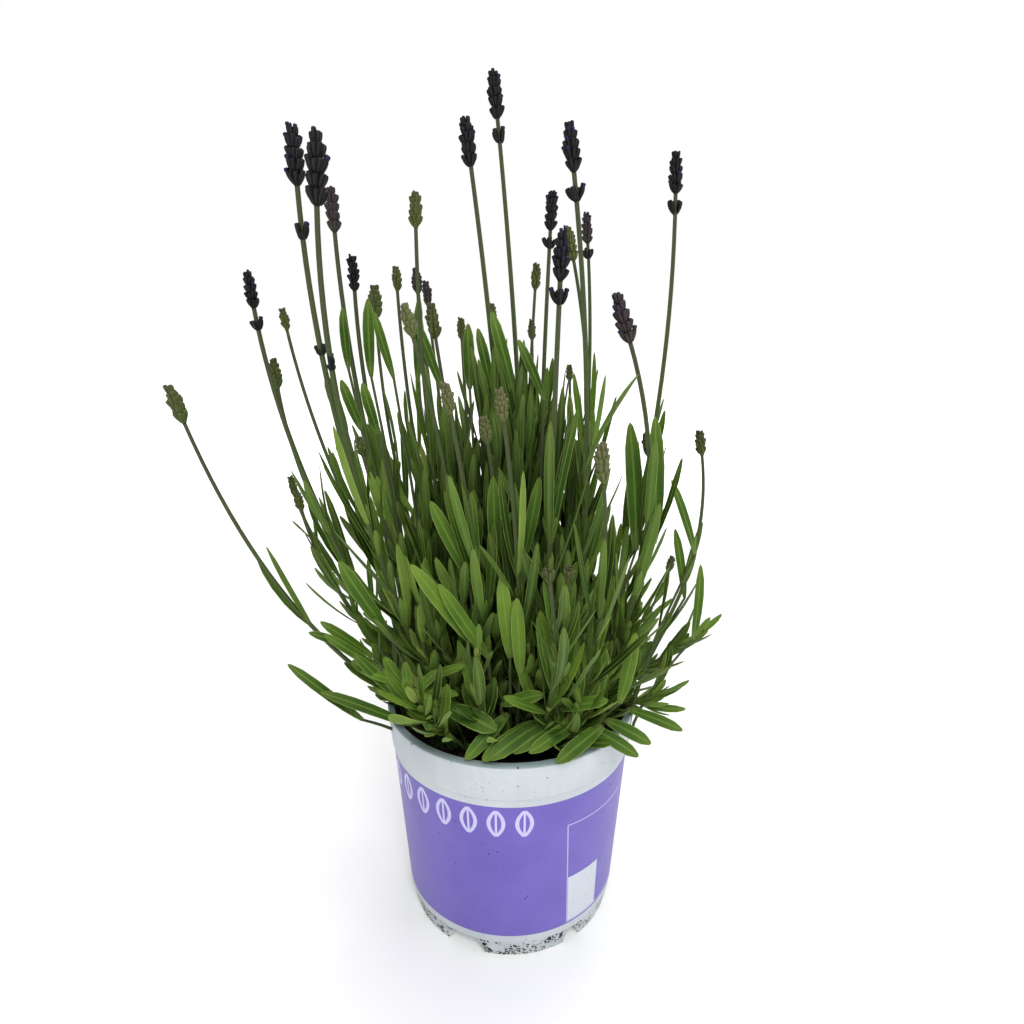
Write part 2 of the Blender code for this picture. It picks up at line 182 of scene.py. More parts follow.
class Paint:
    # The nodes of a material or world, and the shader that they lead to
    def __init__(self, owner, shader, **constants):
        self.owner = owner
        self.owner.use_nodes = True
        self.tree = self.owner.node_tree
        self.shader = self.tree.nodes[shader]
        for socket, value in constants.items():
            self.shader.inputs[socket.replace("_", " ")].default_value = value

    def node(self, kind, settings=None, inputs=None, output=0):
        # Any node: its settings first, then a value or a link for each of its sockets
        made = self.tree.nodes.new(kind)
        for name, value in (settings or {}).items():
            if name == "stops":
                self.setStops(made.color_ramp, value)
            else:
                setattr(made, name, value)
        sockets = {socket.identifier: socket for socket in made.inputs}
        for name, value in (inputs or {}).items():
            socket = sockets.get(name) or made.inputs[name]
            if isinstance(value, Value):
                self.tree.links.new(value.socket, socket)
            else:
                socket.default_value = value
        return Value(self, made.outputs[output])

    def setStops(self, ramp, stops):
        while len(ramp.elements) < len(stops):
            ramp.elements.new(0.5)
        for element, (place, color) in zip(ramp.elements, stops):
            element.position = place
            element.color = (*color, 1.0)

    def mark(self, name):
        return self.node("ShaderNodeAttribute", {"attribute_name": name}, output=2)

    def place(self):
        return self.node("ShaderNodeTexCoord", output=3)

    def axes(self, vector):
        return [self.node("ShaderNodeSeparateXYZ", None, {0: vector}, output=axis) for axis in range(3)]

    def noise(self, vector, scale, detail=2.0, roughness=0.5):
        return self.node("ShaderNodeTexNoise", None, {
            "Vector": vector, "Scale": scale, "Detail": detail, "Roughness": roughness})

    def spots(self, vector, scale):
        return self.node("ShaderNodeTexVoronoi", None, {"Vector": vector, "Scale": scale})

    def stretch(self, vector, scale):
        return self.node("ShaderNodeVectorMath", {"operation": "MULTIPLY"}, {0: vector, 1: scale})

    def mix(self, share, first, second, blend="MIX"):
        return self.node(
            "ShaderNodeMix", {"data_type": "RGBA", "blend_type": blend},
            {"Factor_Float": share, "A_Color": self.color(first), "B_Color": self.color(second)},
            output=2)

    def color(self, value):
        return value if isinstance(value, Value) else (*value, 1.0)

    def ramp(self, value, stops):
        return self.node("ShaderNodeValToRGB", {"stops": stops}, {0: value})

    def bump(self, height, distance, strength=1.0):
        return self.node("ShaderNodeBump", None, {
            "Height": height, "Distance": distance, "Strength": strength})

    def finish(self, **links):
        for name, value in links.items():
            self.tree.links.new(value.socket, self.shader.inputs[name.replace("_", " ")])
        return self.owner


def newSkin(name, **constants):
    # A new material and its Principled shader
    return Paint(bpy.data.materials.new(name), "Principled BSDF", **constants)


# Pot

pot = {
    "height": 118 * mm, "rim": 65 * mm, "lip": 3.4 * mm, "lipFall": 1.8 * mm,
    "collarDepth": 19 * mm, "collarTaper": 1.4 * mm, "collarStep": 0.7 * mm, "wall": 1.3 * mm,
    "lowRadius": 57 * mm, "lowHeight": 14.6 * mm, "foot": 54.3 * mm, "floor": 12.6 * mm,
    "channels": 6, "channelHeight": 9 * mm, "channelStart": 24 * mm,
    "topWidths": (10.5 * mm, 4 * mm), "bottomWidths": (21 * mm, 10 * mm),
    "firstChannel": math.radians(-115), "drainRadii": (4 * mm, 1.4 * mm), "drainAt": 36 * mm,
    "drainRise": 2.6 * mm, "columns": 288}
printed = {
    "bandLow": 14.6 * mm, "bandHigh": 94.6 * mm, "turn": 60 * mm, "lean": 0.055,
    "frameLeft": 32.2 * mm, "frameRight": 80.4 * mm, "frameLow": 15.8 * mm, "frameHigh": 78.5 * mm,
    "labelLeft": 32.7 * mm, "labelRight": 53.1 * mm, "labelLow": 16.3 * mm, "labelHigh": 45.3 * mm,
    "line": 0.30 * mm, "leafRow": 85 * mm, "leafTall": 7.5 * mm, "leafStep": 13 * mm,
    "leafWide": 0.26, "leafStart": -91 * mm, "leafEnd": 13 * mm}


def channelLift(radius, angle):
    # How far a channel lifts the underside: a trapezoid across, full height within its top width
    # and sloping to nothing at its bottom width, and a ramp at its inner end.
    lift = np.zeros(np.broadcast(radius, angle).shape)
    drain = np.zeros_like(lift)
    for index in range(pot["channels"]):
        turn = angle - pot["firstChannel"] - index * 2 * math.pi / pot["channels"]
        turn = (turn + math.pi) % (2 * math.pi) - math.pi
        across = np.abs(np.sin(turn)) * radius + (np.abs(turn) > 1.0)
        low, high = 0.5 * pot["bottomWidths"][index % 2], 0.5 * pot["topWidths"][index % 2]
        side = np.clip((low - across) / (low - high), 0, 1)
        end = np.clip((radius - pot["channelStart"]) / (2 * mm), 0, 1)
        lift = np.maximum(lift, side * end)
        away = np.hypot(radius * np.cos(turn) - pot["drainAt"], radius * np.sin(turn))
        drain = np.maximum(drain, np.clip((pot["drainRadii"][index % 2] - away) / (0.5 * mm), 0, 1))
    return lift * pot["channelHeight"], drain


def bodyRadius(height):
    # The wall widens evenly from its low radius to the foot of the collar
    top = pot["height"] - pot["collarDepth"]
    topRadius = pot["rim"] - pot["collarTaper"] - pot["collarStep"]
    share = (height - pot["lowHeight"]) / (top - pot["lowHeight"])
    return pot["lowRadius"] + (topRadius - pot["lowRadius"]) * share


def potSection():
    # Points (radius, height) from the middle of the inner floor, up the inside, over the lip, down
    # the outside, under the foot and back to the middle. The last column is 1 on the underside.
    top, rim = pot["height"], pot["rim"]
    collarLow = top - pot["collarDepth"]
    inner = rim - pot["lip"]
    wall = pot["wall"]
    points = [(2 * mm, pot["floor"], 0), (pot["foot"] - 4 * mm, pot["floor"], 0)]
    points += [(bodyRadius(z * mm) - wall, z * mm, 0) for z in (16, 40, 70, 96)]
    points += [(inner, 101 * mm, 0), (inner, top - 0.9 * mm, 0), (inner, top - 0.3 * mm, 0)]
    points += [(inner + 0.3 * mm, top, 0)]
    lipTurn = np.linspace(0.15, 1, 8) * math.pi / 2
    points += [
        (inner + 0.3 * mm + (pot["lip"] - 0.3 * mm) * math.sin(turn),
         top - pot["lipFall"] * (1 - math.cos(turn)), 0) for turn in lipTurn]
    for share in (0.04, 0.15, 0.4, 0.7, 0.95, 0.985):
        height = top - pot["lipFall"] - share * (pot["collarDepth"] - pot["lipFall"])
        points.append((rim - pot["collarTaper"] * share, height, 0))
    points += [(rim - pot["collarTaper"] - 0.12 * mm, collarLow, 0)]
    points += [(bodyRadius(collarLow) + 0.15 * mm, collarLow - 0.35 * mm, 0)]
    points += [(bodyRadius(collarLow - 0.8 * mm), collarLow - 0.8 * mm, 0)]
    points += [(bodyRadius(z * mm), z * mm, 0) for z in (96, 94.6, 85, 70, 55, 40, 28, 18, 14.6)]
    foot = pot["foot"]
    points += [(pot["lowRadius"] - inset * mm, z * mm, 0) for inset, z in ((0.25, 12), (0.5, 10.2))]
    points += [(foot + out * mm, z * mm, 0) for out, z in ((1.6, 9.7), (1.4, 9.3), (1.2, 7.5), (0.9, 5))]
    points += [(foot + out * mm, z * mm, 0) for out, z in ((0.6, 2.2), (0.3, 0.7), (0.1, 0.15))]
    points += [(foot - 0.3 * mm, 0.0, 1)]
    radii = (53, 50, 46, 43, 40.6, 40.1, 39.5, 38.5, 37.4, 36.9, 36, 35.1, 34.6, 33.5, 32.5, 31.9, 31.4,
             29, 26.5, 25, 23.9, 20, 12, 2)
    points += [(radius * mm, 0.0, 1) for radius in radii]
    return np.array(points)


def makePot():
    # The section turned about the axis. The channels lift the foot, less the higher a point lies
    # in it, and the drains lift the underside alone.
    section = potSection()
    angle = np.linspace(0, 2 * math.pi, pot["columns"], endpoint=False)[None, :]
    radius, height, under = (section[:, column][:, None] for column in range(3))
    lift, drain = channelLift(radius, angle)
    footShare = np.clip(1 - height / pot["channelHeight"], 0, 1)
    z = height + lift * footShare + drain * under * pot["drainRise"]
    z = z + 0.0 * angle
    ring = np.stack([radius * np.cos(angle), radius * np.sin(angle), z], axis=-1)[None]
    poles = [np.array([[0.0, 0.0, pot["floor"]]]), np.array([[0.0, 0.0, 0.0]])]
    hole = (drain * under > 0.5)[None].astype(float)
    shell = tubes(ring[:, :, ::-1], poles[0], poles[1], {"hole": hole[:, :, ::-1]})
    piece = putMesh("potShell", [shell], [potPlastic()], math.radians(40))
    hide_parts("pot")


def potPlastic():
    # White plastic with a violet print, drawn by height and by distance round the wall, and painted shade on
    # top of the lip
    p = newSkin("printedPotPlastic", Specular_IOR_Level=0.45, Coat_Weight=0.08, Coat_Roughness=0.25)
    place = p.place()
    x, y, z = p.axes(place)
    angle = p.node("ShaderNodeMath", {"operation": "ARCTAN2"}, {0: x, 1: 0 - y})
    along = angle * printed["turn"]
    cloud = p.noise(place, 38.0, 3.0)
    streak = p.noise(p.stretch(place, (1.0, 1.0, 0.12)), 260.0, 2.0)
    grain = p.noise(place, 900.0, 2.0)
    white = p.mix(cloud.soft(0.3, 0.7), (0.520, 0.575, 0.615), (0.590, 0.640, 0.670))
    white = p.mix(streak.soft(0.45, 0.75) * 0.25, white, (0.480, 0.535, 0.575))
    # Painted shade: the top of the lip is darkened to a grey-blue, as if shaded by the leaves above
    lip = z.soft(pot["height"] - 1.5 * mm, pot["height"] - 0.9 * mm)
    white = p.mix(lip * 0.92, white, (0.225, 0.295, 0.300))
    violet = p.mix(cloud.soft(0.25, 0.75), (0.138, 0.098, 0.460), (0.166, 0.120, 0.515))
    violet = p.mix(grain.soft(0.55, 0.8) * 0.08, violet, (0.24, 0.20, 0.58))
    edge = 0.12 * mm

    def between(value, low, high):
        return value.soft(low - edge, low + edge) * (1 - value.soft(high - edge, high + edge))

    def bar(value, middle):
        return 1 - (value - middle).size().soft(printed["line"] - edge, printed["line"] + edge)

    # The frame and the label lean a little: their sides move round the wall with the height
    band = between(z, printed["bandLow"], printed["bandHigh"])
    slanted = along + z * printed["lean"]
    inFrame = between(z, printed["frameLow"], printed["frameHigh"])
    framed = between(slanted, printed["frameLeft"], printed["frameRight"])
    lines = bar(slanted, printed["frameLeft"]) * inFrame
    lines = lines.most(bar(slanted, printed["frameRight"]) * inFrame)
    lines = lines.most(bar(z, printed["frameHigh"]) * framed)
    lines = lines.most(bar(z, printed["frameLow"]) * framed) * 0.75
    label = between(slanted, printed["labelLeft"], printed["labelRight"])
    label = label * between(z, printed["labelLow"], printed["labelHigh"])

    # A row of plain lance leaves: each one's half width falls as the square of the height from
    # its middle, and only its outline and midrib are inked.
    step = printed["leafStep"]
    cell = (along / step).rest() - 0.5
    tall = (z - printed["leafRow"]) / printed["leafTall"]
    half = (1 - tall * tall) * printed["leafWide"]
    stroke = 0.070
    outline = 1 - (cell.size() - half).size().soft(stroke - 0.015, stroke + 0.015)
    rib = 1 - cell.size().soft(0.030, 0.050)
    motif = outline.most(rib * half.above(0.06)) * (1 - tall.size().soft(0.97, 1.03))
    motif = motif * between(along, printed["leafStart"], printed["leafEnd"])
    ink = p.mix(lines, violet, (0.62, 0.60, 0.86))
    ink = p.mix(motif, ink, (0.61, 0.58, 0.88))
    ink = p.mix(label, ink, (0.62, 0.67, 0.74))
    color = p.mix(band, white, ink)

    # Peat dust: clumps of specks on the foot, and a few grains everywhere
    crumb = p.spots(place, 700.0)
    clod = p.spots(place, 300.0)
    patch = p.noise(place, 190.0, 4.0, 0.7)
    low = 1 - z.soft(8.8 * mm, 9.9 * mm)
    film = low * patch.soft(0.35, 0.60) * 0.35
    specks = (1 - crumb.soft(0.34, 0.48)) * patch.soft(0.46, 0.50) * low
    clods = (1 - clod.soft(0.34, 0.42)) * patch.soft(0.49, 0.53) * low
    specks = specks.most(clods)
    fleck = p.spots(place, 150.0)
    sparse = (1 - fleck.soft(0.060, 0.095)) * p.noise(place, 60.0, 1.0).soft(0.47, 0.52)
    speck = p.spots(place, 520.0)
    dust = (1 - speck.soft(0.10, 0.16)) * p.noise(place, 90.0, 2.0).soft(0.52, 0.60) * 0.75
    color = p.mix(film, color, (0.30, 0.31, 0.27))
    color = p.mix(specks, color, (0.010, 0.008, 0.006))
    color = p.mix(sparse.most(dust) * 0.95, color, (0.022, 0.020, 0.028))
    hole = p.mark("hole")
    color = p.mix(hole, color, (0.018, 0.013, 0.010))
    rough = 0.44 + grain * 0.10 - band * 0.05 + specks * 0.3
    height = streak * 0.25 + grain * 0.15 + specks * 1.2 + sparse * 1.0
    return p.finish(Base_Color=color, Roughness=rough, Normal=p.bump(height, 0.12 * mm, 0.6))


# Root ball and what lies on it

peat = {
    "edge": 103.5 * mm, "mound": 2.5 * mm, "gap": 0.4 * mm, "low": 14 * mm,
    "columns": 180, "crumbs": 900, "perlite": 12}


def softNoise(x, y, seed, waves=26, wavelength=9 * mm):
    # A sum of plane waves in random directions, shorter waves weaker
    rng = np.random.default_rng(seed)
    total = np.zeros(np.broadcast(x, y).shape)
    for _ in range(waves):
        turn = rng.uniform(0, 2 * math.pi)
        length = wavelength * rng.uniform(0.35, 1.6)
        along = (x * math.cos(turn) + y * math.sin(turn)) * 2 * math.pi / length
        total += np.sin(along + rng.uniform(0, 6.3)) * length
    return total / (wavelength * math.sqrt(waves))


def soilHeight(x, y):
    # A shallow mound with lumps on it
    inner = pot["rim"] - pot["lip"]
    share = np.clip(1 - (np.hypot(x, y) / inner) ** 2, 0, 1)
    return peat["edge"] + peat["mound"] * share + softNoise(x, y, 5) * 0.9 * mm


def makeRootBall():
    # Rings of the mound, then of a side that follows the pot's inner wall, then of the underside
    edge = pot["rim"] - pot["lip"] - peat["gap"]
    angle = np.linspace(0, 2 * math.pi, peat["columns"], endpoint=False)[None, :]
    radii = np.linspace(1.0 * mm, edge, 44)[:, None]
    x, y = radii * np.cos(angle), radii * np.sin(angle)
    top = np.stack([x, y, soilHeight(x, y)], axis=-1)
    wallHeights = np.array([98, 80, 60, 40, 20, 17, 15]) * mm
    wallRadii = np.array([bodyRadius(z) - pot["wall"] - peat["gap"] for z in wallHeights])
    wallRadii[-1] -= 4 * mm
    side = np.stack([
        wallRadii[:, None] * np.cos(angle), wallRadii[:, None] * np.sin(angle),
        wallHeights[:, None] + 0 * angle], axis=-1)
    under = np.stack([
        0.5 * wallRadii[-1] * np.cos(angle), 0.5 * wallRadii[-1] * np.sin(angle),
        peat["low"] + 0 * angle], axis=-1)
    ring = np.concatenate([top, side, under])[None, :, ::-1]
    poles = np.array([[0, 0, soilHeight(0.0, 0.0)]]), np.array([[0, 0, peat["low"]]])
    piece = putMesh("rootBall", [tubes(ring, *poles, {})], [peatSkin()])
    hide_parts("soil")


def makeCrumbs():
    # Small lumps scattered over the peat: spheres of six sides whose radius varies at random
    rng = np.random.default_rng(11)
    count = peat["crumbs"] + peat["perlite"]
    reach = np.sqrt(rng.uniform(0, 1, count)) * (pot["rim"] - pot["lip"] - 3 * mm)
    turn = rng.uniform(0, 2 * math.pi, count)
    x, y = reach * np.cos(turn), reach * np.sin(turn)
    pale = (np.arange(count) >= peat["crumbs"]).astype(float)
    radius = np.where(pale > 0, rng.uniform(0.8, 1.5, count), rng.uniform(0.5, 2.0, count)) * mm
    middle = np.stack([x, y, soilHeight(x, y) + 0.3 * radius], axis=-1)
    latitude = np.radians([-50, -5, 40])[None, :, None]
    longitude = np.radians(np.arange(6) * 60.0)[None, None, :]
    bumpy = radius[:, None, None] * rng.uniform(0.7, 1.2, (count, 3, 6))
    ring = np.stack([
        bumpy * np.cos(latitude) * np.cos(longitude) * 1.2,
        bumpy * np.cos(latitude) * np.sin(longitude),
        bumpy * np.sin(latitude) * 0.8 + 0 * longitude], axis=-1) + middle[:, None, None]
    drop = radius[:, None] * up * 0.75
    marks = {"pale": pale[:, None, None], "tone": rng.uniform(0, 1, (count, 1, 1))}
    piece = putMesh("peatCrumbs", [tubes(ring, middle - drop, middle + drop, marks)], [peatSkin()])


def peatSkin():
    # Dark crumbs from fine and coarse noise, brown fibres, and pale skins on the perlite
    p = newSkin("moistPeat", Specular_IOR_Level=0.25)
    place = p.place()
    fine = p.noise(place, 700.0, 6.0, 0.7)
    coarse = p.noise(place, 130.0, 4.0, 0.6)
    fibre = p.noise(p.stretch(place, (1.0, 0.15, 1.0)), 900.0, 3.0)
    color = p.ramp(fine * 0.6 + coarse * 0.4, (
        (0.30, (0.003, 0.0025, 0.002)), (0.50, (0.010, 0.007, 0.005)), (0.72, (0.030, 0.020, 0.013))))
    color = p.mix(fibre.soft(0.62, 0.72) * 0.5, color, (0.075, 0.050, 0.028))
    color = p.mix(p.mark("pale") * 0.7, color, (0.38, 0.36, 0.32))
    height = fine * 0.7 + coarse + fibre * 0.3
    return p.finish(
        Base_Color=color, Roughness=0.80 + fine * 0.2, Normal=p.bump(height, 0.8 * mm))


# Leaves

leafShape = {
    "rings": np.array([0.0, 0.08, 0.22, 0.42, 0.62, 0.80, 0.92, 0.975]),
    "across": np.array([1.0, 0.55, 0.0, -0.55, -1.0, 0.0]),
    "rise": np.array([-0.14, 0.10, -0.03, 0.10, -0.14, -0.26]),
    "under": np.array([0.0, 0.0, 0.0, 0.0, 0.0, 1.0]),
    "steps": 32}   # along a midrib


def lanceWidth(share):
    # Half width along a leaf: it opens as a root of the share and soon runs parallel, and the last
    # third narrows with the fourth power of the share to a blunt point.
    return np.maximum(0.34, share ** 0.3 * (1 - share ** 4) ** 0.6 / 0.79)


ground = {"reach": (50, 59, 66.5, 80, 110), "height": (106, 119.8, 119.8, 111, 92), "soft": 1.5}


def rest(points):
    # Lifts whatever would dip into the peat or the rim, so that it lies there instead. The ground
    # under a point is the peat, then the rim, then a slope that falls away outside.
    reach = np.hypot(points[..., 0], points[..., 1])
    height = np.interp(reach, np.array(ground["reach"]) * mm, np.array(ground["height"]) * mm)
    depth = height - points[..., 2]
    lifted = points.copy()
    lifted[..., 2] += 0.5 * (depth + np.sqrt(depth ** 2 + (ground["soft"] * mm) ** 2))
    return lifted


def leaves(base, aim, outward, spec, slot=0, free=False):
    # Bent lances, all at once. The angle between a leaf and its stem changes evenly from the leaf's
    # foot to its tip, and the midrib is the running sum of the directions which that gives, each
    # drawn upward by the lift.
    count = len(base)
    fine = np.linspace(0, 1, leafShape["steps"] + 1)
    lean = spec["tilt"][:, None] + spec["curl"][:, None] * fine
    across = normalize(np.cross(aim, outward))
    path = (np.cos(lean)[..., None] * aim[:, None] + np.sin(lean)[..., None] * outward[:, None]
            + (spec["sway"][:, None] * fine)[..., None] * across[:, None]
            + (spec["lift"][:, None] * fine)[..., None] * up)
    path = normalize(path)
    steps = 0.5 * (path[:, 1:] + path[:, :-1]) / leafShape["steps"]
    walked = np.concatenate([np.zeros((count, 1, 3)), np.cumsum(steps, axis=1)], axis=1)
    line = base[:, None] + walked * spec["length"][:, None, None]
    return blades(line if free else rest(line), across, spec, slot)


def blades(line, across, spec, slot=0):
    # Leaf skins along midribs: shallow troughs with a keel below, whose width follows the lance,
    # turned about the midrib by the twist
    count = len(line)
    share = leafShape["rings"]
    index = np.round(share * leafShape["steps"]).astype(int)
    middle, tip = line[:, index], line[:, -1]
    ahead = normalize(np.gradient(line, axis=1))[:, index]
    side = normalize(across[:, None] - (across[:, None] * ahead).sum(-1, keepdims=True) * ahead)
    face = np.cross(ahead, side)
    twist = (spec["twist"][:, None] * share)[..., None]
    side, face = side * np.cos(twist) + face * np.sin(twist), face * np.cos(twist) - side * np.sin(twist)
    half = 0.5 * spec["width"][:, None] * lanceWidth(share)[None]
    fold = spec["fold"][:, None, None] * np.abs(leafShape["across"])
    wide = half[..., None] * leafShape["across"]
    high = half[..., None] * (leafShape["rise"] + fold)
    ring = middle[:, :, None] + wide[..., None] * side[:, :, None] + high[..., None] * face[:, :, None]
    foot = middle[:, 0] - ahead[:, 0] * 0.3 * mm
    marks = {
        "along": share[None, :, None] * np.ones((count, 1, 1)),
        "across": leafShape["across"][None, None],
        "under": leafShape["under"][None, None],
        "tone": spec["tone"][:, None, None]}
    return tubes(ring, foot, tip, marks, slot)


def leafSkin():
    # Green by the leaf's tone and a cloudy noise, paler at its foot, tip, midrib, edges and back, and
    # darkened by painted shade deep in the bush
    p = newSkin("lavenderLeaf", Specular_IOR_Level=0.14)
    place = p.place()
    along, across, under, tone = (p.mark(name) for name in ("along", "across", "under", "tone"))
    cloud = p.noise(place, 90.0, 3.0)
    down = p.noise(place, 1500.0, 2.0)
    x, y, z = p.axes(place)
    reach = (x * x + y * y) ** 0.5
    # Painted shade: leaves deep in the bush are darkened, near its middle and below its top, where the bush
    # shades them
    inner = (1 - reach.soft(26 * mm, 60 * mm)) * (1 - z.soft(205 * mm, 300 * mm))
    mood = tone * 0.72 + cloud * 0.28
    color = p.ramp(mood, (
        (0.08, (0.008, 0.028, 0.003)), (0.32, (0.022, 0.064, 0.005)), (0.55, (0.060, 0.134, 0.012)),
        (0.75, (0.140, 0.242, 0.026)), (0.95, (0.300, 0.355, 0.085))))
    color = p.mix(along.soft(0.55, 1.0) * 0.30, color, (0.19, 0.27, 0.05))
    color = p.mix((1 - along.soft(0.0, 0.25)) * 0.35, color, (0.24, 0.32, 0.10))
    rib = 1 - across.size().soft(0.05, 0.22)
    edge = across.size().soft(0.84, 1.0)
    color = p.mix(rib * 0.45, color, (0.21, 0.31, 0.045))
    color = p.mix(edge * 0.60, color, (0.34, 0.42, 0.10))
    color = p.mix(under.soft(0.1, 0.7) * 0.42, color, (0.14, 0.21, 0.055))
    color = p.mix(down.soft(0.5, 0.8) * 0.12, color, (0.25, 0.32, 0.11))
    # Painted shade: the inner leaves are mixed towards a near black green
    color = p.mix(inner * 0.72, color, (0.006, 0.020, 0.002))
    height = down * 0.35 + across.size().soft(0.0, 0.25) * 0.6 + cloud * 0.3
    rough = 0.48 + down * 0.18 + under * 0.1
    return p.finish(Base_Color=color, Roughness=rough, Normal=p.bump(height, 0.25 * mm, 0.7))


# Stems

stemShape = {"base": 1.25 * mm, "tip": 0.80 * mm, "sides": 8, "rings": 26, "square": 0.10}


def pathFrames(points):
    # Direction along a path, and two directions across it that don't spin
    ahead = normalize(np.gradient(points, axis=0))
    side = normalize(np.cross(np.array([0.0, 1.0, 0.02]), ahead))
    return ahead, side, np.cross(ahead, side)


def stem(points, thick=1.0, tone=0.5, slot=1):
    # A four-cornered tube: its radius grows towards the corners as the cosine of four times the
    # angle, and it tapers evenly from its foot to its tip.
    share = np.linspace(0, 1, len(points))
    ahead, side, third = pathFrames(points)
    angle = np.arange(stemShape["sides"]) * 2 * math.pi / stemShape["sides"] + math.pi / 8
    corner = 1 + stemShape["square"] * np.cos(4 * (angle - math.pi / 8))
    radius = (stemShape["base"] + (stemShape["tip"] - stemShape["base"]) * share) * thick
    across = np.cos(angle)[None, :, None] * side[:, None] + np.sin(angle)[None, :, None] * third[:, None]
    ring = points[:, None] + across * (radius[:, None] * corner[None])[..., None]
    marks = {
        "along": share[None, :, None], "across": np.cos(4 * (angle - math.pi / 8))[None, None],
        "tone": np.full((1, 1, 1), tone)}
    return tubes(ring[None], points[:1], points[-1:] + ahead[-1:] * 0.3 * mm, marks, slot)


def stemSkin():
    # Green that greys towards the head, with paler corners and down
    p = newSkin("lavenderStem", Specular_IOR_Level=0.14)
    place = p.place()
    along, across, tone = (p.mark(name) for name in ("along", "across", "tone"))
    cloud = p.noise(place, 70.0, 3.0)
    down = p.noise(p.stretch(place, (1.0, 1.0, 0.3)), 1400.0, 2.0)
    color = p.ramp(along * 0.6 + cloud * 0.4, (
        (0.10, (0.072, 0.122, 0.027)), (0.45, (0.070, 0.108, 0.030)), (0.80, (0.062, 0.080, 0.030))))
    color = p.mix(tone * along.soft(0.6, 1.0) * 0.60, color, (0.060, 0.050, 0.050))
    color = p.mix(across.soft(0.2, 1.0) * 0.25, color, (0.12, 0.16, 0.07))
    color = p.mix(down.soft(0.5, 0.8) * 0.2, color, (0.15, 0.18, 0.11))
    height = down * 0.5 + across * 0.3
    return p.finish(Base_Color=color, Roughness=0.55 + down * 0.2, Normal=p.bump(height, 0.2 * mm, 0.7))


# Flower heads

budShape = {"rings": np.array([0.10, 0.35, 0.62, 0.84, 0.96]), "sides": 6}


def calyces(base, aim, length, width, tone, petal, slot, openness=0.75):
    # Small ribbed barrels: the radius rises as a quarter sine from the foot and stays wide to the
    # mouth, where it draws in, and every second side is a rib.
    share = budShape["rings"]
    radius = np.array([0.52, 0.86, 1.0, 0.92, openness])
    angle = np.arange(budShape["sides"]) * 2 * math.pi / budShape["sides"]
    rib = 1 + 0.13 * np.cos(3 * angle)
    side = normalize(np.cross(aim, np.array([0.31, 0.52, 0.17])))
    third = np.cross(aim, side)
    across = np.cos(angle)[None, :, None] * side[:, None] + np.sin(angle)[None, :, None] * third[:, None]
    middle = base[:, None] + aim[:, None] * (share[None] * length[:, None])[..., None]
    size = 0.5 * width[:, None, None] * (radius[:, None] * rib[None])[None]
    ring = middle[:, :, None] + across[:, None] * size[..., None]
    marks = {
        "along": share[None, :, None] * np.ones((len(base), 1, 1)),
        "across": np.cos(3 * angle)[None, None], "tone": tone[:, None, None], "petal": petal[:, None, None]}
    return tubes(ring, base, base + aim * length[:, None], marks, slot)


def around(aim, angle):
    # Directions at the given angles about an axis
    side = normalize(np.cross(aim, np.array([0.0, 1.0, 0.02])))
    third = np.cross(aim, side)
    return np.cos(angle)[:, None] * side + np.sin(angle)[:, None] * third


def whorl(rng, place, aim, spec):
    # One ring of buds about the stem, each leaning out and starting just under its skin
    count = spec["count"]
    angle = np.arange(count) * 2 * math.pi / count + rng.uniform(0, 6.3) + rng.uniform(-0.12, 0.12, count)
    outward = around(aim, angle)
    tilt = spec["tilt"] + rng.uniform(-0.10, 0.10, count)
    leaning = normalize(np.cos(tilt)[:, None] * aim + np.sin(tilt)[:, None] * outward)
    foot = place + outward * spec["inset"] + aim * rng.uniform(-0.4, 0.4, count)[:, None] * mm
    length = spec["length"] * rng.uniform(0.88, 1.10, count)
    width = spec["width"] * rng.uniform(0.92, 1.08, count)
    tone = np.clip(spec["tone"] + rng.uniform(-0.2, 0.2, count), 0, 1)
    surfaces = [calyces(foot, leaning, length, width, tone, np.zeros(count), spec["slot"])]
    shown = rng.uniform(0, 1, count) < spec["petals"]
    if shown.any():
        mouth = foot[shown] + leaning[shown] * (length[shown] * 0.82)[:, None]
        surfaces.append(calyces(
            mouth, leaning[shown], length[shown] * 0.42, width[shown] * 0.86, tone[shown],
            np.ones(shown.sum()), spec["slot"], openness=0.7))
    return surfaces


def bracts(place, aim, spec):
    # A pair of short broad scales under a whorl
    angle = np.array([0.0, math.pi]) + spec["turn"]
    outward = around(aim, angle)
    return leaves(place + outward * 0.5 * mm, np.stack([aim, aim]), outward, {
        "tilt": np.full(2, spec["tilt"]), "curl": np.full(2, -0.35), "sway": np.zeros(2),
        "twist": np.zeros(2), "fold": np.full(2, 0.25), "length": np.full(2, spec["bractLength"]),
        "width": np.full(2, spec["bractWidth"]), "tone": np.full(2, spec["bractTone"]),
        "lift": np.zeros(2)},
        spec["slot"], free=True)


# Each list runs from a head's foot to its top; full is the length, in mm, of a head at size 1
spike = {
    "spacing": 4.0 * mm, "counts": (7, 8, 8, 6), "tilts": (0.44, 0.42, 0.36, 0.20),
    "lengths": (5.4, 5.8, 5.6, 4.8), "widths": (2.5, 2.6, 2.5, 1.9), "inset": 0.8 * mm,
    "bractLength": 4.6 * mm, "bractWidth": 4.2 * mm, "petals": 0.12, "full": 21}
bud = {
    "spacing": 2.5 * mm, "counts": (6, 7, 5), "tilts": (0.34, 0.34, 0.14),
    "lengths": (4.6, 4.8, 4.2), "widths": (2.2, 2.3, 1.7), "inset": 0.7 * mm,
    "bractLength": 3.8 * mm, "bractWidth": 3.0 * mm, "petals": 0.0, "full": 14, "onShoots": 0.75}


def spread(values, share):
    # Runs evenly through a short list of values, straight from each to the next
    return np.interp(share, np.linspace(0, 1, len(values)), values)


